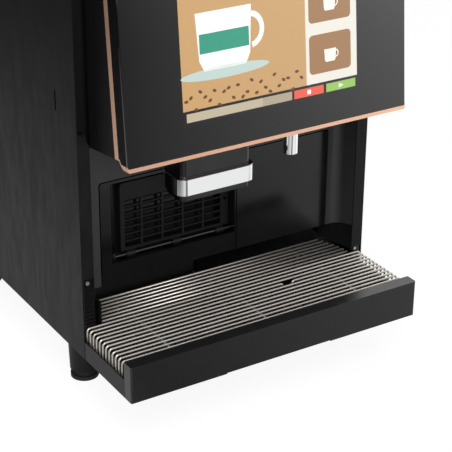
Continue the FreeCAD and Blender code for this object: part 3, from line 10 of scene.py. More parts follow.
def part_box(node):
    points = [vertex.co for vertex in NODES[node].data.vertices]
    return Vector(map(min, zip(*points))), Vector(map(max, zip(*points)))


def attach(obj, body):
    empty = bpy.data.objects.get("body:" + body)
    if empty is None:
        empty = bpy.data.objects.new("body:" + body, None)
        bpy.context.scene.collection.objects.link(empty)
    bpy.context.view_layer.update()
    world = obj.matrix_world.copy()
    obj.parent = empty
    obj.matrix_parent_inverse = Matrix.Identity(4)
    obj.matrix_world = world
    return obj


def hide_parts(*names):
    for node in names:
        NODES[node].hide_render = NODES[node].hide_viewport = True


bl_info = {
    "name": "Coffee Machine Looks",
    "version": (1, 0, 0),
    "blender": (4, 5, 0),
    "location": "View3D > Sidebar > Coffee Machine",
    "description": "Finishes and fine pieces of a bean-to-cup coffee machine",
    "category": "Object",
}

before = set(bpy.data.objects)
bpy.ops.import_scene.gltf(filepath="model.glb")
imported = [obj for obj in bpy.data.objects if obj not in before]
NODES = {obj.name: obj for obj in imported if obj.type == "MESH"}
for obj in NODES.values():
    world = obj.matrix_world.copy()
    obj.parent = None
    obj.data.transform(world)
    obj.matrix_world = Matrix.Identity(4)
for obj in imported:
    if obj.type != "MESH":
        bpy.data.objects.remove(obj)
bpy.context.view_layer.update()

# Stage: places and sizes in metres

WHITE = (1.0, 1.0, 1.0, 1.0)
WORLD_LEVEL = 0.35
PAPER_GREY = (0.2, 0.2, 0.2)
PAPER_FRONT = -16.0
PAPER_BEND = 2.4
PAPER_RADIUS = 1.2
PAPER_TOP = 6.0
PAPER_HALF_WIDTH = 12.0
BEND_STEPS = 8
# Glow of the paper to the eye, and its most in reflections, to the right and to the left
PAPER_GLOW = 0.89
RIGHT_GLOW = 1.65
LEFT_GLOW = 0.7
# Way in which the right glow rises, then the stretches on which the glows rise or fall
RIGHT_WAY = (1.0, 0.45, 0.0)
RIGHT_RISE = (-0.3, 1.0)
LEFT_RISE = (-0.8, -0.32)
LEFT_FALL = (-0.26, -0.12)
# Name, place, size and power
LAMPS = (
    ("key_lamp", (-1.0, -1.9, 2.2), 1.5, 30.0),
    ("fill_lamp", (-0.7, -2.4, 0.75), 1.0, 20.0),
    ("top_lamp", (0.1, 0.3, 2.6), 1.4, 14.0),
)
LAMP_TARGET = Vector((0.0, -0.1, 0.35))
# Name, place, point faced, width, height and glow
CARDS = (
    ("left_card", (-0.9, 0.8, 0.62), (-0.15, 0.0, 0.5), 1.6, 1.3, 0.0),
    ("front_card", (0.3, -0.82, 0.002), (0.3, -0.82, 1.0), 0.5, 0.3, 1.0),
)
CARD_BLACK = (0.02, 0.02, 0.02)
# The photograph's view: place; turn, rise and roll in degrees; focal length in millimetres
VIEW_PLACE = (-0.8997, -1.5918, 1.0258)
VIEW_ANGLES = (-31.898, 26.031, 0.447)
VIEW_LENS = 121.62

# Wire grid: sizes in metres, places after the CAD grid, the float and the tray

GRID_LOW, GRID_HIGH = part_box("drip_grid")
FLOAT_LOW, FLOAT_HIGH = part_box("level_float")
TRAY_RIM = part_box("drip_tray")[1].z
LONG_WIRES = 12
SHORT_WIRES = 7
# The wire that is cut, counted from 0, and how far inside the float's sides it ends
CUT_WIRE = 8
FLOAT_LAP = 0.0018
# How far the bars run past the first and the last wire
BAR_NOSE = 0.003
BAR_TAIL = 0.0025
BAR_PLACES = (-0.135, 0.0, 0.135)
# How far the feet of the bars end above the feet of the wires
BAR_FOOT_RISE = 0.0015
ACROSS = Vector((1.0, 0.0, 0.0))
REARWARD = Vector((0.0, 1.0, 0.0))

# Door front: sizes in metres, places after the CAD glass

GLASS_LOW, GLASS_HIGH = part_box("front_glass")
GLASS_THICKNESS = 0.004
GLASS_CHAMFER = 0.0008
# How far each layer of the screen stands before the last, and how far all reach into the glass
LAYER_STEP = 0.00005
LAYER_DEPTH = 0.0002
SCREEN_GLOW = 0.4

# Screen picture: millimetres across from the door's middle and up from the glass's lower edge

# Left, right, foot and top
SURROUND = (-117.5, 119.5, 35.0, 324.0)
WARM_FIELD = (-116.5, 47.5, 51.0, 320.0)
PALE_FIELD = (47.5, 118.5, 51.0, 320.0)
STOP_SIGN = (48.0, 53.0, 40.3, 45.3)
MUG_BAND = (-92.0, -28.0, 112.0, 134.0)
# Foot and top of the row of buttons, then left and right of each part of it
BUTTON_ROW = (37.8, 47.8)
BEIGE_BAR = (-112.5, -13.0)
TAUPE_BAR = (-13.0, 27.0)
RED_BUTTON = (30.0, 71.0)
GREEN_BUTTON = (74.7, 116.0)
START_SIGN = ((92.5, 40.3), (99.0, 42.8), (92.5, 45.3))
TILE_FEET = (62.0, 122.0, 182.0, 242.0)
TILE_LEFT = 52.0
TILE_RIGHT = 110.0
TILE_HEIGHT = 46.0
TILE_CORNER = 5.0
# Foot of the large mug and its size, and the same for the small ones on the tiles
MUG_PLACE = (-60.0, 92.0)
MUG_SIZE = 1.5
TILE_MUG_RISE = 12.0
TILE_MUG_SIZE = 0.34
# Outline and handle of a mug of size 1, measured from the middle of its foot; sweep in degrees
MUG_OUTLINE = ((-18, 0), (18, 0), (22, 8), (24, 44), (-24, 44), (-22, 8))
HANDLE_MIDDLE = (22, 25)
HANDLE_RADII = (9, 13)
HANDLE_SWEEP = 160
HANDLE_STRETCH = 1.1
HANDLE_BLOCKS = 9
# Middle, half width and half height
SAUCER = (-60.0, 88.0, 58.0, 7.0)
# Beans of the low row, counted from the left, and where every second one has a mate higher up
BEANS = 26
FIRST_BEAN = -112.0
BEAN_STEP = 6.1
BEAN_HALF_SIZE = (2.7, 1.8)
LOW_BEAN_ROW = 62.0
HIGH_BEAN_RISE = 200.0
HIGH_BEAN_SHIFT = 4.0


# Settings


def length(name, description, default):
    return FloatProperty(name=name, description=description, default=default, min=0.0,
                         unit="LENGTH", subtype="DISTANCE")


def colour(name, description, default):
    return FloatVectorProperty(name=name, description=description, default=default, size=3,
                               min=0.0, max=1.0, subtype="COLOR")


def angle(name, description, degrees):
    return FloatProperty(name=name, description=description, default=math.radians(degrees),
                         unit="ROTATION", subtype="ANGLE")


class CoffeeMachineSizes(bpy.types.PropertyGroup):
    edge: length("Sheet Edge", "Rounding on the edges of sheet-metal pieces", 0.0006)
    moulded_edge: length("Moulded Edge", "Rounding on the edges of moulded pieces", 0.0009)
    wire_diameter: length("Wire Diameter", "Thickness of the wires of the drip grid", 0.0028)
    wire_bend: length("Wire Bend", "Radius of the bends at the ends of the wires", 0.0034)
    bar_diameter: length("Bar Diameter", "Thickness of the bars under the wires", 0.004)
    door_lean: angle("Door Lean", "How far the glass leans back", 5.5)
    glass_corner: length("Glass Corner", "Corner radius of the door glass", 0.002)
    glass_bevel: length("Glass Bevel", "Width of the polished bevel round the glass", 0.0008)


class CoffeeMachineColours(bpy.types.PropertyGroup):
    powder_black: colour("Powder Coat", "Textured paint of the cabinet", (0.006, 0.006, 0.0061))
    moulded_black: colour("Moulded Black", "Black mouldings", (0.012, 0.012, 0.013))
    copper: colour("Copper", "Plated band round the door", (1.0, 0.57, 0.39))
    chrome: colour("Chrome", "Plated outlet band", (0.76, 0.77, 0.77))
    wire: colour("Wire", "Stainless wires of the grid", (0.62, 0.58, 0.53))


# Materials


class Finish:
    """A material with its shader, and short ways to add texture nodes to it."""

    def __init__(self, name, base, roughness, metallic=0.0, **inputs):
        self.material = bpy.data.materials.new(name)
        self.material.use_nodes = True
        self.tree = self.material.node_tree
        self.shader = self.tree.nodes["Principled BSDF"]
        self.set("Base Color", (*base, 1.0))
        self.set("Roughness", roughness)
        self.set("Metallic", metallic)
        for socket, value in inputs.items():
            self.set(socket.replace("_", " "), value)
        self.coords = None

    def set(self, socket, value):
        self.shader.inputs[socket].default_value = value

    def node(self, kind, **values):
        """Adds a node; each value goes to the socket of its name, or else to the node itself."""
        made = self.tree.nodes.new(kind)
        for key, value in values.items():
            if key in made.inputs:
                made.inputs[key].default_value = value
            else:
                setattr(made, key, value)
        return made

    def link(self, start, end):
        self.tree.links.new(start, end)

    def place(self, scale=(1.0, 1.0, 1.0)):
        """Object coordinates, stretched by a scale for each axis."""
        if self.coords is None:
            self.coords = self.node("ShaderNodeTexCoord")
        mapping = self.node("ShaderNodeMapping")
        mapping.inputs["Scale"].default_value = scale
        self.link(self.coords.outputs["Object"], mapping.inputs["Vector"])
        return mapping.outputs["Vector"]

    def grain(self, scale, detail=3.0, stretch=(1.0, 1.0, 1.0)):
        """Grey noise over the piece, finer with a larger scale."""
        texture = self.node("ShaderNodeTexNoise", Scale=scale, Detail=detail)
        self.link(self.place(stretch), texture.inputs["Vector"])
        return texture.outputs["Fac"]

    def ramp(self, fac, low, high, start=0.3, end=0.7):
        """Runs from low to high while the grey value runs from start to end."""
        ramp = self.node("ShaderNodeMapRange")
        ramp.inputs["From Min"].default_value = start
        ramp.inputs["From Max"].default_value = end
        ramp.inputs["To Min"].default_value = low
        ramp.inputs["To Max"].default_value = high
        self.link(fac, ramp.inputs["Value"])
        return ramp.outputs["Result"]

    def colour_from(self, fac, first, second):
        """Lets the colour run between two tones."""
        mix = self.node("ShaderNodeMix", data_type="RGBA")
        mix.inputs["A"].default_value = (*first, 1.0)
        mix.inputs["B"].default_value = (*second, 1.0)
        self.link(fac, mix.inputs["Factor"])
        self.link(mix.outputs["Result"], self.shader.inputs["Base Color"])

    def roughness_from(self, fac, low, high):
        """Lets the roughness run between two values."""
        self.link(self.ramp(fac, low, high), self.shader.inputs["Roughness"])

    def bump_from(self, height, strength, distance):
        """Raises the surface a little where the grey value is high."""
        bump = self.node("ShaderNodeBump", Strength=strength, Distance=distance)
        self.link(height, bump.inputs["Height"])
        self.link(bump.outputs["Normal"], self.shader.inputs["Normal"])


def shade(base, factor):
    """The colour made darker or lighter."""
    return tuple(min(1.0, c * factor) for c in base)


def powder_coat(colours):
    """Fine textured paint with faint upright streaks."""
    base = tuple(colours.powder_black)
    finish = Finish("powder_coat", base, 0.45, Specular_IOR_Level=0.15)
    streaks = finish.grain(110.0, 8.0, (1.0, 1.0, 0.22))
    finish.colour_from(streaks, shade(base, 0.3), shade(base, 1.9))
    finish.roughness_from(streaks, 0.4, 0.52)
    finish.bump_from(finish.grain(900.0, 2.0), 0.35, 0.00012)
    return finish.material


def satin_sheet(colours):
    """Dull dark paint of the plainer sheet metal."""
    base = shade(tuple(colours.moulded_black), 0.6)
    finish = Finish("satin_sheet", base, 0.42, Specular_IOR_Level=0.1)
    finish.roughness_from(finish.grain(140.0, 4.0), 0.36, 0.5)
    finish.bump_from(finish.grain(1100.0, 2.0), 0.15, 0.00006)
    return finish.material


def deep_black(colours):
    """Matt black of the door's narrow sides, with hardly any shine."""
    base = shade(tuple(colours.moulded_black), 0.2)
    finish = Finish("deep_black", base, 0.45, Specular_IOR_Level=0.08)
    finish.roughness_from(finish.grain(200.0, 3.0), 0.4, 0.52)
    finish.bump_from(finish.grain(900.0, 2.0), 0.1, 0.00005)
    return finish.material


def polished_black(colours):
    """High-gloss moulding with very faint wipe marks."""
    base = shade(tuple(colours.moulded_black), 0.4)
    finish = Finish("polished_black", base, 0.14, Specular_IOR_Level=0.42)
    finish.roughness_from(finish.grain(26.0, 5.0), 0.1, 0.22)
    finish.bump_from(finish.grain(30.0, 2.0), 0.04, 0.0002)
    return finish.material


def satin_black(colours):
    """Front of the tray: a smooth moulding with a soft sheen."""
    base = tuple(colours.moulded_black)
    finish = Finish("satin_black", base, 0.3, Specular_IOR_Level=0.42)
    finish.roughness_from(finish.grain(60.0, 5.0), 0.26, 0.36)
    finish.bump_from(finish.grain(700.0, 2.0), 0.08, 0.00005)
    return finish.material


def painted_light_lining(colours):
    """Walls of the niche: a satin moulding, painted paler than the rest to stand in for the light and
    reflection on them.
    """
    # Painted light: the moulded black is raised threefold, standing in for the light on the niche walls.
    base = shade(tuple(colours.moulded_black), 3.2)
    finish = Finish("painted_light_lining", base, 0.4, Specular_IOR_Level=0.4)
    finish.roughness_from(finish.grain(60.0, 5.0), 0.34, 0.46)
    finish.bump_from(finish.grain(700.0, 2.0), 0.08, 0.00005)
    return finish.material


def grained_black(colours):
    """Black moulding with a fine grain."""
    base = shade(tuple(colours.moulded_black), 0.6)
    finish = Finish("grained_black", base, 0.45, Specular_IOR_Level=0.25)
    grain = finish.grain(700.0, 3.0)
    finish.roughness_from(grain, 0.36, 0.55)
    finish.bump_from(grain, 0.3, 0.0001)
    return finish.material


def door_glass_black(colours):
    """Black-backed glass: a dark body under a clear, even gloss."""
    base = shade(tuple(colours.moulded_black), 0.4)
    finish = Finish("door_glass_black", base, 0.05, IOR=1.52, Coat_Weight=0.5, Coat_Roughness=0.03)
    finish.roughness_from(finish.grain(9.0, 4.0), 0.03, 0.07)
    return finish.material


def copper_plate(colours):
    """Satin copper plating with a slight change of tone."""
    base = tuple(colours.copper)
    finish = Finish("copper_plate", base, 0.22, 0.5)
    fine = finish.grain(380.0, 3.0)
    finish.colour_from(finish.grain(14.0, 4.0), shade(base, 0.95), shade(base, 1.04))
    finish.roughness_from(fine, 0.18, 0.27)
    finish.bump_from(fine, 0.05, 0.00005)
    return finish.material


def chrome_plate(colours):
    """Bright plating with the faintest haze."""
    base = tuple(colours.chrome)
    finish = Finish("chrome_plate", base, 0.07, 1.0)
    finish.roughness_from(finish.grain(60.0, 5.0), 0.05, 0.1)
    return finish.material


def drawn_wire(colours):
    """Stainless wire with fine lengthwise drawing marks."""
    base = tuple(colours.wire)
    finish = Finish("drawn_wire", base, 0.34, 0.7)
    lines = finish.grain(900.0, 2.0, (0.02, 1.0, 1.0))
    finish.colour_from(finish.grain(40.0, 4.0), shade(base, 0.86), shade(base, 1.04))
    finish.roughness_from(lines, 0.28, 0.44)
    finish.bump_from(lines, 0.1, 0.00004)
    return finish.material


def brushed_steel(name="brushed_steel", base=(0.55, 0.54, 0.53), low=0.25, high=0.42):
    """Bare steel with upright brush marks."""
    finish = Finish(name, base, 0.3, 1.0)
    lines = finish.grain(420.0, 4.0, (1.0, 1.0, 0.03))
    finish.roughness_from(lines, low, high)
    finish.bump_from(lines, 0.12, 0.00005)
    return finish.material


def zinc_plate():
    """Zinc-coated sheet with its crystal spangle."""
    finish = Finish("zinc_plate", (0.5, 0.51, 0.52), 0.36, 1.0)
    spangle = finish.node("ShaderNodeTexVoronoi", Scale=90.0)
    finish.link(finish.place(), spangle.inputs["Vector"])
    finish.colour_from(spangle.outputs["Distance"], (0.46, 0.47, 0.48), (0.62, 0.63, 0.64))
    finish.roughness_from(finish.grain(120.0, 3.0), 0.3, 0.48)
    return finish.material


def moulded(name, base, low=0.32, high=0.48):
    """Plain moulding: slight tone change and a fine grain."""
    finish = Finish(name, base, 0.4)
    finish.colour_from(finish.grain(18.0, 3.0), shade(base, 0.93), shade(base, 1.05))
    grain = finish.grain(500.0, 3.0)
    finish.roughness_from(grain, low, high)
    finish.bump_from(grain, 0.12, 0.00006)
    return finish.material


def soft_rubber():
    """Dull rubber with a fine uneven surface."""
    base = (0.016, 0.016, 0.017)
    finish = Finish("soft_rubber", base, 0.7, Specular_IOR_Level=0.35)
    grain = finish.grain(650.0, 4.0)
    finish.colour_from(finish.grain(30.0, 4.0), shade(base, 0.8), shade(base, 1.5))
    finish.roughness_from(grain, 0.6, 0.8)
    finish.bump_from(grain, 0.35, 0.00012)
    return finish.material


def smoked_clear():
    """Clear plastic with a brown-grey tint."""
    finish = Finish("smoked_clear", (0.30, 0.28, 0.27), 0.08, IOR=1.49, Transmission_Weight=0.85)
    finish.roughness_from(finish.grain(30.0, 4.0), 0.05, 0.14)
    return finish.material


def cast_metal():
    """Rough light-metal casting."""
    base = (0.42, 0.42, 0.43)
    finish = Finish("cast_metal", base, 0.5, 1.0)
    grain = finish.grain(260.0, 4.0)
    finish.colour_from(grain, shade(base, 0.8), shade(base, 1.15))
    finish.roughness_from(grain, 0.4, 0.6)
    finish.bump_from(grain, 0.3, 0.00015)
    return finish.material


def turned_brass():
    """Brass as it comes from the lathe."""
    base = (0.62, 0.44, 0.2)
    finish = Finish("turned_brass", base, 0.3, 1.0)
    finish.colour_from(finish.grain(60.0, 4.0), shade(base, 0.85), shade(base, 1.1))
    finish.roughness_from(finish.grain(500.0, 3.0), 0.24, 0.38)
    return finish.material


def lit_screen(name, base, glow):
    """Part of the lit picture: even colour under a gloss like that of the glass."""
    finish = Finish(name, base, 0.06, Coat_Weight=0.5, Coat_Roughness=0.02)
    finish.set("Emission Color", (*base, 1.0))
    finish.set("Emission Strength", glow)
    finish.roughness_from(finish.grain(9.0, 4.0), 0.04, 0.09)
    return finish.material


def math_node(tree, operation, first, second):
    """Maximum, minimum or the like of two sockets."""
    node = tree.nodes.new("ShaderNodeMath")
    node.operation = operation
    tree.links.new(first, node.inputs[0])
    tree.links.new(second, node.inputs[1])
    return node.outputs[0]


def mix_shaders(tree, fac, first, second):
    """The first shader where the factor is 0, and the second where it is 1."""
    mix = tree.nodes.new("ShaderNodeMixShader")
    tree.links.new(fac, mix.inputs[0])
    tree.links.new(first, mix.inputs[1])
    tree.links.new(second, mix.inputs[2])
    return mix.outputs[0]


# Mesh helpers


def add_object(name, mesh, material, body):
    """Puts a mesh into the scene, on the body that carries it."""
    made = bpy.data.objects.new(name, mesh)
    bpy.context.scene.collection.objects.link(made)
    made.data.materials.append(material)
    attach(made, body)
    return made


def finish_mesh(bm, name, smooth=True):
    """Turns the built shape into a mesh with its faces outward."""
    bmesh.ops.remove_doubles(bm, verts=bm.verts, dist=1e-7)
    bmesh.ops.recalc_face_normals(bm, faces=bm.faces)
    for face in bm.faces:
        face.smooth = smooth
    mesh = bpy.data.meshes.new(name)
    bm.to_mesh(mesh)
    bm.free()
    return mesh


def round_edges(obj, width, segments, sharp=32.0):
    """Rounds the sharp edges, so that they catch light as real edges do."""
    bevel = obj.modifiers.new("rounded_edges", "BEVEL")
    bevel.width = width
    bevel.segments = segments
    bevel.limit_method = "ANGLE"
    bevel.angle_limit = math.radians(sharp)
    bevel.harden_normals = True
    bevel.use_clamp_overlap = True


def coat(node, material, width=None):
    """Gives a CAD node its finish, and rounded edges where a width is given."""
    obj = NODES[node]
    obj.data.materials.clear()
    obj.data.materials.append(material)
    for face in obj.data.polygons:
        face.material_index = 0
    if width:
        round_edges(obj, width, 2)


def rounded_outline(left, right, foot, top, radius, steps):
    """Points round a rectangle with rounded corners, from the lower right one."""
    centres = [(right - radius, foot + radius), (right - radius, top - radius),
               (left + radius, top - radius), (left + radius, foot + radius)]
    points = []
    for quarter, (x, z) in enumerate(centres):
        for i in range(steps + 1):
            a = math.pi / 2 * (quarter - 1 + i / steps)
            points.append((x + radius * math.cos(a), z + radius * math.sin(a)))
    return points


def settings():
    """The sizes and the colours that the panel shows."""
    return bpy.context.scene.coffee_machine_sizes, bpy.context.scene.coffee_machine_colours


# Places on the leaning door


def door_lean():
    return bpy.context.scene.coffee_machine_sizes.door_lean


def glass_foot():
    """Middle of the lower front edge of the glass, as if it had no chamfer."""
    slope = math.sin(door_lean())
    return Vector((0.0, GLASS_LOW.y - GLASS_CHAMFER * slope, GLASS_LOW.z + GLASS_THICKNESS * slope))


def glass_height():
    """Height of the glass along its lean, as if it had no chamfer."""
    top = GLASS_HIGH.z + GLASS_CHAMFER * math.sin(door_lean())
    return (top - glass_foot().z) / math.cos(door_lean())


def on_door(across, up, behind):
    """Point at a distance across, up and behind the middle of the glass's lower front edge."""
    lean = door_lean()
    along = Vector((0.0, math.sin(lean), math.cos(lean)))
    inward = Vector((0.0, math.cos(lean), -math.sin(lean)))
    return glass_foot() + ACROSS * across + along * up + inward * behind


def add_plate(bm, outline, front, back):
    """Flat plate along the leaning front, between two distances behind the face of the glass."""
    near = [bm.verts.new(on_door(x, up, front)) for x, up in outline]
    far = [bm.verts.new(on_door(x, up, back)) for x, up in outline]
    bm.faces.new(near)
    bm.faces.new(far[::-1])
    for i in range(len(outline)):
        bm.faces.new((near[i - 1], near[i], far[i], far[i - 1]))


# Flat shapes of the screen picture, in millimetres


def block(left, right, foot, top, corner=0.0):
    """Rectangle, with rounded corners where a radius is given."""
    if corner:
        return rounded_outline(left, right, foot, top, corner, 5)
    return [(left, foot), (right, foot), (right, top), (left, top)]


def oval(x, z, half_width, half_height, turn=0.0, steps=20):
    """Points round an oval that is turned by some degrees."""
    points = []
    lean = math.radians(turn)
    for i in range(steps):
        a = 2 * math.pi * i / steps
        u = half_width * math.cos(a)
        v = half_height * math.sin(a)
        points.append((x + u * math.cos(lean) - v * math.sin(lean),
                       z + u * math.sin(lean) + v * math.cos(lean)))
    return points


def on_handle(radius, step):
    """Point on a curve of the mug's handle, at one of the steps along its sweep."""
    x, z = HANDLE_MIDDLE
    a = math.radians(HANDLE_SWEEP * (step / HANDLE_BLOCKS - 0.5))
    return x + radius * math.cos(a), z + HANDLE_STRETCH * radius * math.sin(a)


def mug(x, z, size):
    """Mug seen from the side: tapered body, and a handle made of short blocks."""
    inner, outer = HANDLE_RADII
    outlines = [MUG_OUTLINE]
    for i in range(HANDLE_BLOCKS):
        outlines.append([on_handle(inner, i), on_handle(outer, i),
                         on_handle(outer, i + 1), on_handle(inner, i + 1)])
    return [[(x + size * u, z + size * v) for u, v in outline] for outline in outlines]


def wave(i, height, pace):
    """Scatter for a bean's place or turn, which looks uneven and is the same each time."""
    return height * math.sin(i * pace)


# Round wires


def wire_place(i):
    """How far back a wire of the grid lies, counted from the front one, which is 0."""
    first = GRID_LOW.y + BAR_NOSE
    last = GRID_HIGH.y - BAR_TAIL
    return first + (last - first) * i / (LONG_WIRES + SHORT_WIRES - 1)


def wire_ends(y, radius):
    """Left and right end of the CAD wire at this place."""
    points = [vertex.co for vertex in NODES["drip_grid"].data.vertices]
    along = [point.x for point in points if abs(point.y - y) < radius]
    return min(along), max(along)


def rounded_path(points, radius, steps=6):
    """Follows the points with each square corner turned into an arc."""
    path = [points[0]]
    for before, corner, after in zip(points, points[1:], points[2:]):
        inward = (before - corner).normalized()
        outward = (after - corner).normalized()
        centre = corner + (inward + outward) * radius
        for i in range(steps + 1):
            a = math.pi / 2 * i / steps
            path.append(centre - outward * radius * math.cos(a) - inward * radius * math.sin(a))
    return path + [points[-1]]


def add_tube(bm, path, radius, side, sides=12):
    """Round bar along a path that lies in the plane square to the side vector."""
    rings = []
    for i, point in enumerate(path):
        along = (path[min(i + 1, len(path) - 1)] - path[max(i - 1, 0)]).normalized()
        across = side.cross(along)
        ring = []
        for k in range(sides):
            a = 2 * math.pi * k / sides
            ring.append(bm.verts.new(point + (side * math.cos(a) + across * math.sin(a)) * radius))
        rings.append(ring)
    for first, second in zip(rings, rings[1:]):
        for k in range(sides):
            bm.faces.new((first[k - 1], first[k], second[k], second[k - 1]))
    bm.faces.new(rings[0])
    bm.faces.new(rings[-1][::-1])


# Operators


class BuildOperator(bpy.types.Operator):
    """Base of the operators below, which can all be undone"""
    bl_options = {"REGISTER", "UNDO"}


class COFFEE_OT_stage(BuildOperator):
    """Make the floor, the lamps and the camera"""
    bl_idname = "coffee_machine.stage"
    bl_label = "Stage"

    def execute(self, context):
        scene = context.scene
        scene.view_settings.view_transform = "Standard"
        self.make_floor()
        self.make_cards()
        self.make_world(scene)
        self.make_lamps()
        self.make_camera(scene)
        return {"FINISHED"}

    def make_floor(self):
        """White sheet that runs level under the machine and up behind it."""
        profile = [(PAPER_FRONT, 0.0), (PAPER_BEND, 0.0)]
        for i in range(1, BEND_STEPS + 1):
            a = math.pi / 2 * i / BEND_STEPS
            profile.append((PAPER_BEND + PAPER_RADIUS * math.sin(a), PAPER_RADIUS * (1 - math.cos(a))))
        profile.append((PAPER_BEND + PAPER_RADIUS, PAPER_TOP))
        bm = bmesh.new()
        left, right = ([bm.verts.new((x, y, z)) for y, z in profile]
                       for x in (-PAPER_HALF_WIDTH, PAPER_HALF_WIDTH))
        for i in range(len(profile) - 1):
            bm.faces.new((left[i], left[i + 1], right[i + 1], right[i]))
        self.place_on_stage("studio_floor", finish_mesh(bm, "studio_floor"), self.floor_material())

    def place_on_stage(self, name, mesh, material):
        """Puts a mesh into the scene that isn't part of the machine."""
        made = bpy.data.objects.new(name, mesh)
        bpy.context.scene.collection.objects.link(made)
        made.data.materials.append(material)
        return made

    def floor_material(self):
        """Pale paper: white to the eye; in reflections brighter to the right and near the left side."""
        finish = Finish("studio_paper", PAPER_GREY, 0.9, Specular_IOR_Level=0.0)
        tree = finish.tree
        path = finish.node("ShaderNodeLightPath")
        place = finish.node("ShaderNodeNewGeometry").outputs["Position"]
        along = finish.node("ShaderNodeVectorMath", operation="DOT_PRODUCT")
        along.inputs[1].default_value = RIGHT_WAY
        finish.link(place, along.inputs[0])
        right = finish.ramp(along.outputs["Value"], 0.0, RIGHT_GLOW, *RIGHT_RISE)
        parts = finish.node("ShaderNodeSeparateXYZ")
        finish.link(place, parts.inputs[0])
        rising = finish.ramp(parts.outputs["X"], 0.0, LEFT_GLOW, *LEFT_RISE)
        falling = finish.ramp(parts.outputs["X"], LEFT_GLOW, 0.0, *LEFT_FALL)
        left = math_node(tree, "MINIMUM", rising, falling)
        seen = finish.node("ShaderNodeEmission", Color=WHITE, Strength=PAPER_GLOW)
        mirrored = finish.node("ShaderNodeEmission", Color=WHITE)
        finish.link(math_node(tree, "MAXIMUM", left, right), mirrored.inputs["Strength"])
        unlit = finish.node("ShaderNodeEmission", Strength=0.0)
        either = math_node(tree, "MAXIMUM", path.outputs["Is Glossy Ray"],
                           path.outputs["Is Transmission Ray"])
        glow = mix_shaders(tree, either, unlit.outputs[0], mirrored.outputs[0])
        glow = mix_shaders(tree, path.outputs["Is Camera Ray"], glow, seen.outputs[0])
        both = finish.node("ShaderNodeAddShader")
        finish.link(finish.shader.outputs[0], both.inputs[0])
        finish.link(glow, both.inputs[1])
        finish.link(both.outputs[0], tree.nodes["Material Output"].inputs["Surface"])
        return finish.material

    def make_cards(self):
        """Dark and bright cards round the machine, seen only in its reflections."""
        for name, place, toward, wide, high, glow in CARDS:
            finish = Finish(name, CARD_BLACK, 0.8)
            finish.set("Emission Color", WHITE)
            finish.set("Emission Strength", glow)
            bm = bmesh.new()
            outline = block(-wide / 2, wide / 2, -high / 2, high / 2)
            bm.faces.new([bm.verts.new((u, v, 0.0)) for u, v in outline])
            card = self.place_on_stage(name, finish_mesh(bm, name, False), finish.material)
            card.location = place
            card.rotation_euler = (Vector(toward) - Vector(place)).to_track_quat("Z", "Y").to_euler()
            card.visible_camera = False
            card.visible_diffuse = False
            card.visible_shadow = False
            card.visible_transmission = False

    def make_world(self, scene):
        """Soft light all round, and plain white where the sky is seen or mirrored."""
        world = bpy.data.worlds.new("studio_light")
        world.use_nodes = True
        tree = world.node_tree
        soft = tree.nodes["Background"]
        soft.inputs["Color"].default_value = WHITE
        soft.inputs["Strength"].default_value = WORLD_LEVEL
        seen = tree.nodes.new("ShaderNodeBackground")
        seen.inputs["Color"].default_value = WHITE
        seen.inputs["Strength"].default_value = 1.0
        path = tree.nodes.new("ShaderNodeLightPath")
        bright = math_node(tree, "MAXIMUM", path.outputs["Is Camera Ray"], path.outputs["Is Glossy Ray"])
        bright = math_node(tree, "MAXIMUM", bright, path.outputs["Is Transmission Ray"])
        mix = mix_shaders(tree, bright, soft.outputs[0], seen.outputs[0])
        tree.links.new(mix, tree.nodes["World Output"].inputs["Surface"])
        scene.world = world

    def make_lamps(self):
        """Soft square lamps that all face the machine."""
        for name, place, size, power in LAMPS:
            data = bpy.data.lights.new(name, "AREA")
            data.shape = "SQUARE"
            data.size = size
            data.energy = power
            lamp = bpy.data.objects.new(name, data)
            lamp.location = place
            lamp.rotation_euler = (LAMP_TARGET - Vector(place)).to_track_quat("-Z", "Y").to_euler()
            bpy.context.scene.collection.objects.link(lamp)

    def make_camera(self, scene):
        """The photograph's view, from the front and the left, looking down a little."""
        data = bpy.data.cameras.new("photo_view")
        data.sensor_width = 36.0
        data.lens = VIEW_LENS
        camera = bpy.data.objects.new("photo_view", data)
        scene.collection.objects.link(camera)
        turn, rise, roll = (math.radians(degrees) for degrees in VIEW_ANGLES)
        back = Vector((math.sin(turn) * math.cos(rise), -math.cos(turn) * math.cos(rise),
                       math.sin(rise)))
        right = Vector((math.cos(turn), math.sin(turn), 0.0))
        up = right.cross(-back)
        across = right * math.cos(roll) + up * math.sin(roll)
        upward = up * math.cos(roll) - right * math.sin(roll)
        rotation = Matrix((across, upward, back)).transposed()
        camera.matrix_world = Matrix.Translation(VIEW_PLACE) @ rotation.to_4x4()
        scene.camera = camera


class COFFEE_OT_cabinet(BuildOperator):
    """Finish the sheet-metal cabinet, its legs and its cover"""
    bl_idname = "coffee_machine.cabinet"
    bl_label = "Cabinet"

    def execute(self, context):
        sizes, colours = settings()
        fine_edge = sizes.edge / 2
        paint = powder_coat(colours)
        for node in ("side_panel_left", "side_panel_right", "rear_panel", "top_cover", "refill_lid"):
            coat(node, paint, sizes.edge)
        sheet = satin_sheet(colours)
        for node in ("inner_frame", "splash_wall", "panel_carrier"):
            coat(node, sheet, fine_edge)
        zinc = zinc_plate()
        for node in ("base_pan", "cabinet_fasteners", "hinge_brackets"):
            coat(node, zinc, fine_edge)
        coat("legs", grained_black(colours), sizes.moulded_edge)
        coat("leg_feet", soft_rubber(), sizes.moulded_edge)
        coat("post_shoes", polished_black(colours), sizes.moulded_edge)
        return {"FINISHED"}


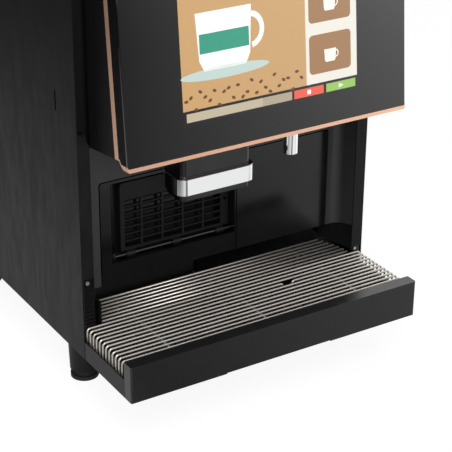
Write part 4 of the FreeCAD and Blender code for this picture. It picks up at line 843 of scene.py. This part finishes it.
class COFFEE_OT_door(BuildOperator):
    """Finish the door shell, its glass and the copper band"""
    bl_idname = "coffee_machine.door"
    bl_label = "Door"

    def execute(self, context):
        sizes, colours = settings()
        coat("door_body", satin_sheet(colours), sizes.edge)
        coat("door_bezel", deep_black(colours), sizes.edge)
        coat("copper_trim", copper_plate(colours), sizes.edge)
        self.make_screen()
        self.make_glass(sizes, door_glass_black(colours))
        coat("lock_cylinder", chrome_plate(colours), sizes.edge)
        coat("display_module", grained_black(colours))
        return {"FINISHED"}

    def make_glass(self, sizes, material):
        """Sheet with rounded corners and a polished bevel in the place of the CAD glass."""
        outline = rounded_outline(GLASS_LOW.x, GLASS_HIGH.x, 0.0, glass_height(), sizes.glass_corner, 14)
        bm = bmesh.new()
        add_plate(bm, outline, 0.0, GLASS_THICKNESS)
        glass = add_object("door_glass", finish_mesh(bm, "door_glass"), material, "door")
        round_edges(glass, sizes.glass_bevel, 3)
        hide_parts("front_glass")

    def make_screen(self):
        """Lit picture laid on the glass: fields, a mug with beans round it, drink tiles and buttons."""
        tile_middle = (TILE_LEFT + TILE_RIGHT) / 2
        tiles = [block(TILE_LEFT, TILE_RIGHT, foot, foot + TILE_HEIGHT, TILE_CORNER)
                 for foot in TILE_FEET]
        tile_cups = [shape for foot in TILE_FEET
                     for shape in mug(tile_middle, foot + TILE_MUG_RISE, TILE_MUG_SIZE)]
        layers = [
            ("screen_surround", (0.012, 0.009, 0.008), 0, [block(*SURROUND)]),
            ("screen_warm_field", (0.50, 0.30, 0.13), 1, [block(*WARM_FIELD)]),
            ("screen_pale_field", (0.72, 0.69, 0.62), 1, [block(*PALE_FIELD)]),
            ("screen_beige_bar", (0.45, 0.39, 0.28), 1, [block(*BEIGE_BAR, *BUTTON_ROW)]),
            ("screen_taupe_bar", (0.37, 0.31, 0.22), 1, [block(*TAUPE_BAR, *BUTTON_ROW)]),
            ("screen_red_button", (0.72, 0.10, 0.06), 1, [block(*RED_BUTTON, *BUTTON_ROW)]),
            ("screen_green_button", (0.27, 0.48, 0.10), 1, [block(*GREEN_BUTTON, *BUTTON_ROW)]),
            ("screen_button_signs", (0.85, 0.85, 0.82), 2, [block(*STOP_SIGN), START_SIGN]),
            ("screen_drink_tiles", (0.30, 0.16, 0.07), 2, tiles),
            ("screen_tile_cups", (0.84, 0.80, 0.72), 3, tile_cups),
            ("screen_mug", (0.78, 0.80, 0.79), 2, mug(*MUG_PLACE, MUG_SIZE)),
            ("screen_mug_band", (0.03, 0.27, 0.18), 3, [block(*MUG_BAND)]),
            ("screen_saucer", (0.45, 0.56, 0.52), 2, [oval(*SAUCER)]),
            ("screen_beans", (0.13, 0.045, 0.018), 2, self.bean_places()),
        ]
        for name, base, layer, shapes in layers:
            bm = bmesh.new()
            for shape in shapes:
                add_plate(bm, [(x / 1000, up / 1000) for x, up in shape],
                          -LAYER_STEP * (layer + 1), LAYER_DEPTH)
            material = lit_screen(name, base, SCREEN_GLOW if layer else 0.0)
            add_object(name, finish_mesh(bm, name, False), material, "door")

    def bean_places(self):
        """Beans in a low and a high loose row, each turned a little from the last."""
        shapes = []
        for i in range(BEANS):
            across = FIRST_BEAN + BEAN_STEP * i
            up = LOW_BEAN_ROW + wave(i, 9.0, 2.4) + wave(i, 3.0, 5.1)
            shapes.append(oval(across, up, *BEAN_HALF_SIZE, wave(i, 40.0, 1.7)))
            if i % 2:
                across += HIGH_BEAN_SHIFT
                up += HIGH_BEAN_RISE + wave(i, 12.0, 1.3)
                shapes.append(oval(across, up, *BEAN_HALF_SIZE, 25.0 * i))
        return shapes


class COFFEE_OT_outlets(BuildOperator):
    """Finish the outlet head and the hot-water spout"""
    bl_idname = "coffee_machine.outlets"
    bl_label = "Outlets"

    def execute(self, context):
        sizes, colours = settings()
        coat("chrome_band", chrome_plate(colours), sizes.edge)
        coat("water_spout", chrome_plate(colours), sizes.edge)
        coat("head_block", polished_black(colours), sizes.moulded_edge)
        coat("outlet_nozzles", grained_black(colours), sizes.edge)
        return {"FINISHED"}


class COFFEE_OT_niche(BuildOperator):
    """Finish the niche lining, its panels and the folding shelf"""
    bl_idname = "coffee_machine.niche"
    bl_label = "Niche"

    def execute(self, context):
        sizes, colours = settings()
        gloss = polished_black(colours)
        for node in ("bay_panel", "flat_panel"):
            coat(node, gloss, sizes.moulded_edge)
        # The niche lining gets a black painted paler, as painted light on its walls.
        coat("niche_lining", painted_light_lining(colours), sizes.moulded_edge)
        coat("niche_skirts", satin_sheet(colours), sizes.edge)
        coat("cup_shelf", grained_black(colours), sizes.edge)
        coat("shelf_rod", brushed_steel("rod_steel", (0.07, 0.07, 0.07)), sizes.edge)
        return {"FINISHED"}


class COFFEE_OT_tray(BuildOperator):
    """Finish the drip tray, its front and the wire grid"""
    bl_idname = "coffee_machine.tray"
    bl_label = "Tray"

    def execute(self, context):
        sizes, colours = settings()
        coat("drip_tray", grained_black(colours), sizes.moulded_edge)
        coat("tray_fascia", satin_black(colours), sizes.moulded_edge)
        coat("level_float", moulded("float_black", (0.03, 0.03, 0.03)), sizes.edge)
        self.make_grid(sizes, drawn_wire(colours))
        return {"FINISHED"}

    def make_grid(self, sizes, wire):
        """Nineteen rows of wire: twelve with legs, one of them cut for the float, and seven short."""
        radius = sizes.wire_diameter / 2
        level = GRID_HIGH.z - radius
        reach = GRID_HIGH.x - radius
        bm = bmesh.new()
        for i in range(LONG_WIRES):
            y = wire_place(i)
            foot = GRID_LOW.z if i < LONG_WIRES - 1 else TRAY_RIM
            spans = [(-reach, foot, reach, foot)]
            if i == CUT_WIRE:
                spans = [(-reach, foot, FLOAT_LOW.x + FLOAT_LAP, FLOAT_HIGH.z),
                         (FLOAT_HIGH.x - FLOAT_LAP, FLOAT_HIGH.z, reach, foot)]
            for left, left_foot, right, right_foot in spans:
                corners = [Vector((left, y, left_foot)), Vector((left, y, level)),
                           Vector((right, y, level)), Vector((right, y, right_foot))]
                add_tube(bm, rounded_path(corners, sizes.wire_bend), radius, REARWARD)
        for i in range(SHORT_WIRES):
            y = wire_place(LONG_WIRES + i)
            add_tube(bm, [Vector((x, y, level)) for x in wire_ends(y, radius)], radius, REARWARD)
        grid = add_object("grid_wires", finish_mesh(bm, "grid_wires"), wire, "grid")
        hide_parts("drip_grid")
        self.make_bars(sizes, level - radius)

    def make_bars(self, sizes, top):
        """Three bars under the wires, each with a foot at the last wire but one, their steel darkened as
        painted shade.
        """
        radius = sizes.bar_diameter / 2
        level = top - radius
        foot_y = wire_place(LONG_WIRES + SHORT_WIRES - 2)
        bm = bmesh.new()
        for x in BAR_PLACES:
            bar = [Vector((x, GRID_LOW.y, level)), Vector((x, GRID_HIGH.y, level))]
            foot = [Vector((x, foot_y, level)), Vector((x, foot_y, GRID_LOW.z + BAR_FOOT_RISE))]
            add_tube(bm, bar, radius, ACROSS)
            add_tube(bm, foot, radius, ACROSS)
        # Painted shade: the bars' steel is darkened, standing in for the shade under the wires.
        steel = brushed_steel("shaded_bar_steel", (0.16, 0.155, 0.15), 0.4, 0.55)
        bars = add_object("grid_bars", finish_mesh(bm, "grid_bars"), steel, "grid")


class COFFEE_OT_top(BuildOperator):
    """Finish the bean hopper and its lid"""
    bl_idname = "coffee_machine.top"
    bl_label = "Top"

    def execute(self, context):
        sizes, colours = settings()
        coat("bean_hopper", smoked_clear(), sizes.edge)
        coat("hopper_lid", grained_black(colours), sizes.moulded_edge)
        coat("hopper_gate", grained_black(colours), sizes.edge)
        coat("lid_pins", brushed_steel("pin_steel"))
        return {"FINISHED"}


class COFFEE_OT_inner_works(BuildOperator):
    """Finish the brewing, powder and water pieces inside the cabinet"""
    bl_idname = "coffee_machine.inner_works"
    bl_label = "Inner Works"

    def execute(self, context):
        sizes, colours = settings()
        white = moulded("natural_white", (0.72, 0.71, 0.68))
        grey = moulded("mid_grey", (0.22, 0.22, 0.23))
        for node in ("canisters", "mixing_bowl", "brew_chamber", "brew_piston"):
            coat(node, white, sizes.edge)
        for node in ("grind_collar", "brew_frame", "auger_left", "auger_right"):
            coat(node, grey, sizes.edge)
        steel = brushed_steel("inner_steel")
        for node in ("brew_pinion", "whipper", "boiler"):
            coat(node, steel, sizes.edge / 2)
        coat("drive_motors", zinc_plate(), sizes.edge)
        coat("grinder", cast_metal(), sizes.edge)
        coat("power_supply", cast_metal(), sizes.edge)
        coat("pump", turned_brass(), sizes.edge)
        dark = grained_black(colours)
        for node in ("grounds_bin", "fan_housing", "fan_rotor"):
            coat(node, dark, sizes.edge)
        return {"FINISHED"}


class COFFEE_OT_rear(BuildOperator):
    """Finish the connections on the rear sheet"""
    bl_idname = "coffee_machine.rear"
    bl_label = "Rear Connections"

    def execute(self, context):
        sizes, colours = settings()
        dark = grained_black(colours)
        coat("mains_inlet", dark, sizes.edge)
        coat("switch_housing", dark, sizes.edge)
        coat("power_rocker", moulded("rocker_red", (0.42, 0.03, 0.02), 0.2, 0.3), sizes.edge)
        coat("water_inlet", turned_brass(), sizes.edge)
        return {"FINISHED"}


class COFFEE_PT_panel(bpy.types.Panel):
    bl_label = "Coffee Machine"
    bl_idname = "COFFEE_PT_panel"
    bl_space_type = "VIEW_3D"
    bl_region_type = "UI"
    bl_category = "Coffee Machine"

    def draw(self, context):
        for operator in OPERATORS:
            self.layout.operator(operator.bl_idname)
        for group in (context.scene.coffee_machine_sizes, context.scene.coffee_machine_colours):
            box = self.layout.box()
            for name in group.bl_rna.properties.keys():
                if name not in ("rna_type", "name"):
                    box.prop(group, name)


OPERATORS = (COFFEE_OT_cabinet, COFFEE_OT_door, COFFEE_OT_outlets, COFFEE_OT_niche, COFFEE_OT_tray,
             COFFEE_OT_top, COFFEE_OT_inner_works, COFFEE_OT_rear, COFFEE_OT_stage)
CLASSES = (CoffeeMachineSizes, CoffeeMachineColours, *OPERATORS, COFFEE_PT_panel)


def register():
    for cls in CLASSES:
        bpy.utils.register_class(cls)
    bpy.types.Scene.coffee_machine_sizes = PointerProperty(type=CoffeeMachineSizes)
    bpy.types.Scene.coffee_machine_colours = PointerProperty(type=CoffeeMachineColours)


def unregister():
    del bpy.types.Scene.coffee_machine_colours
    del bpy.types.Scene.coffee_machine_sizes
    for cls in reversed(CLASSES):
        bpy.utils.unregister_class(cls)


def main():
    register()
    for operator in OPERATORS:
        category, name = operator.bl_idname.split(".")
        getattr(getattr(bpy.ops, category), name)()


if __name__ == "__main__":
    main()
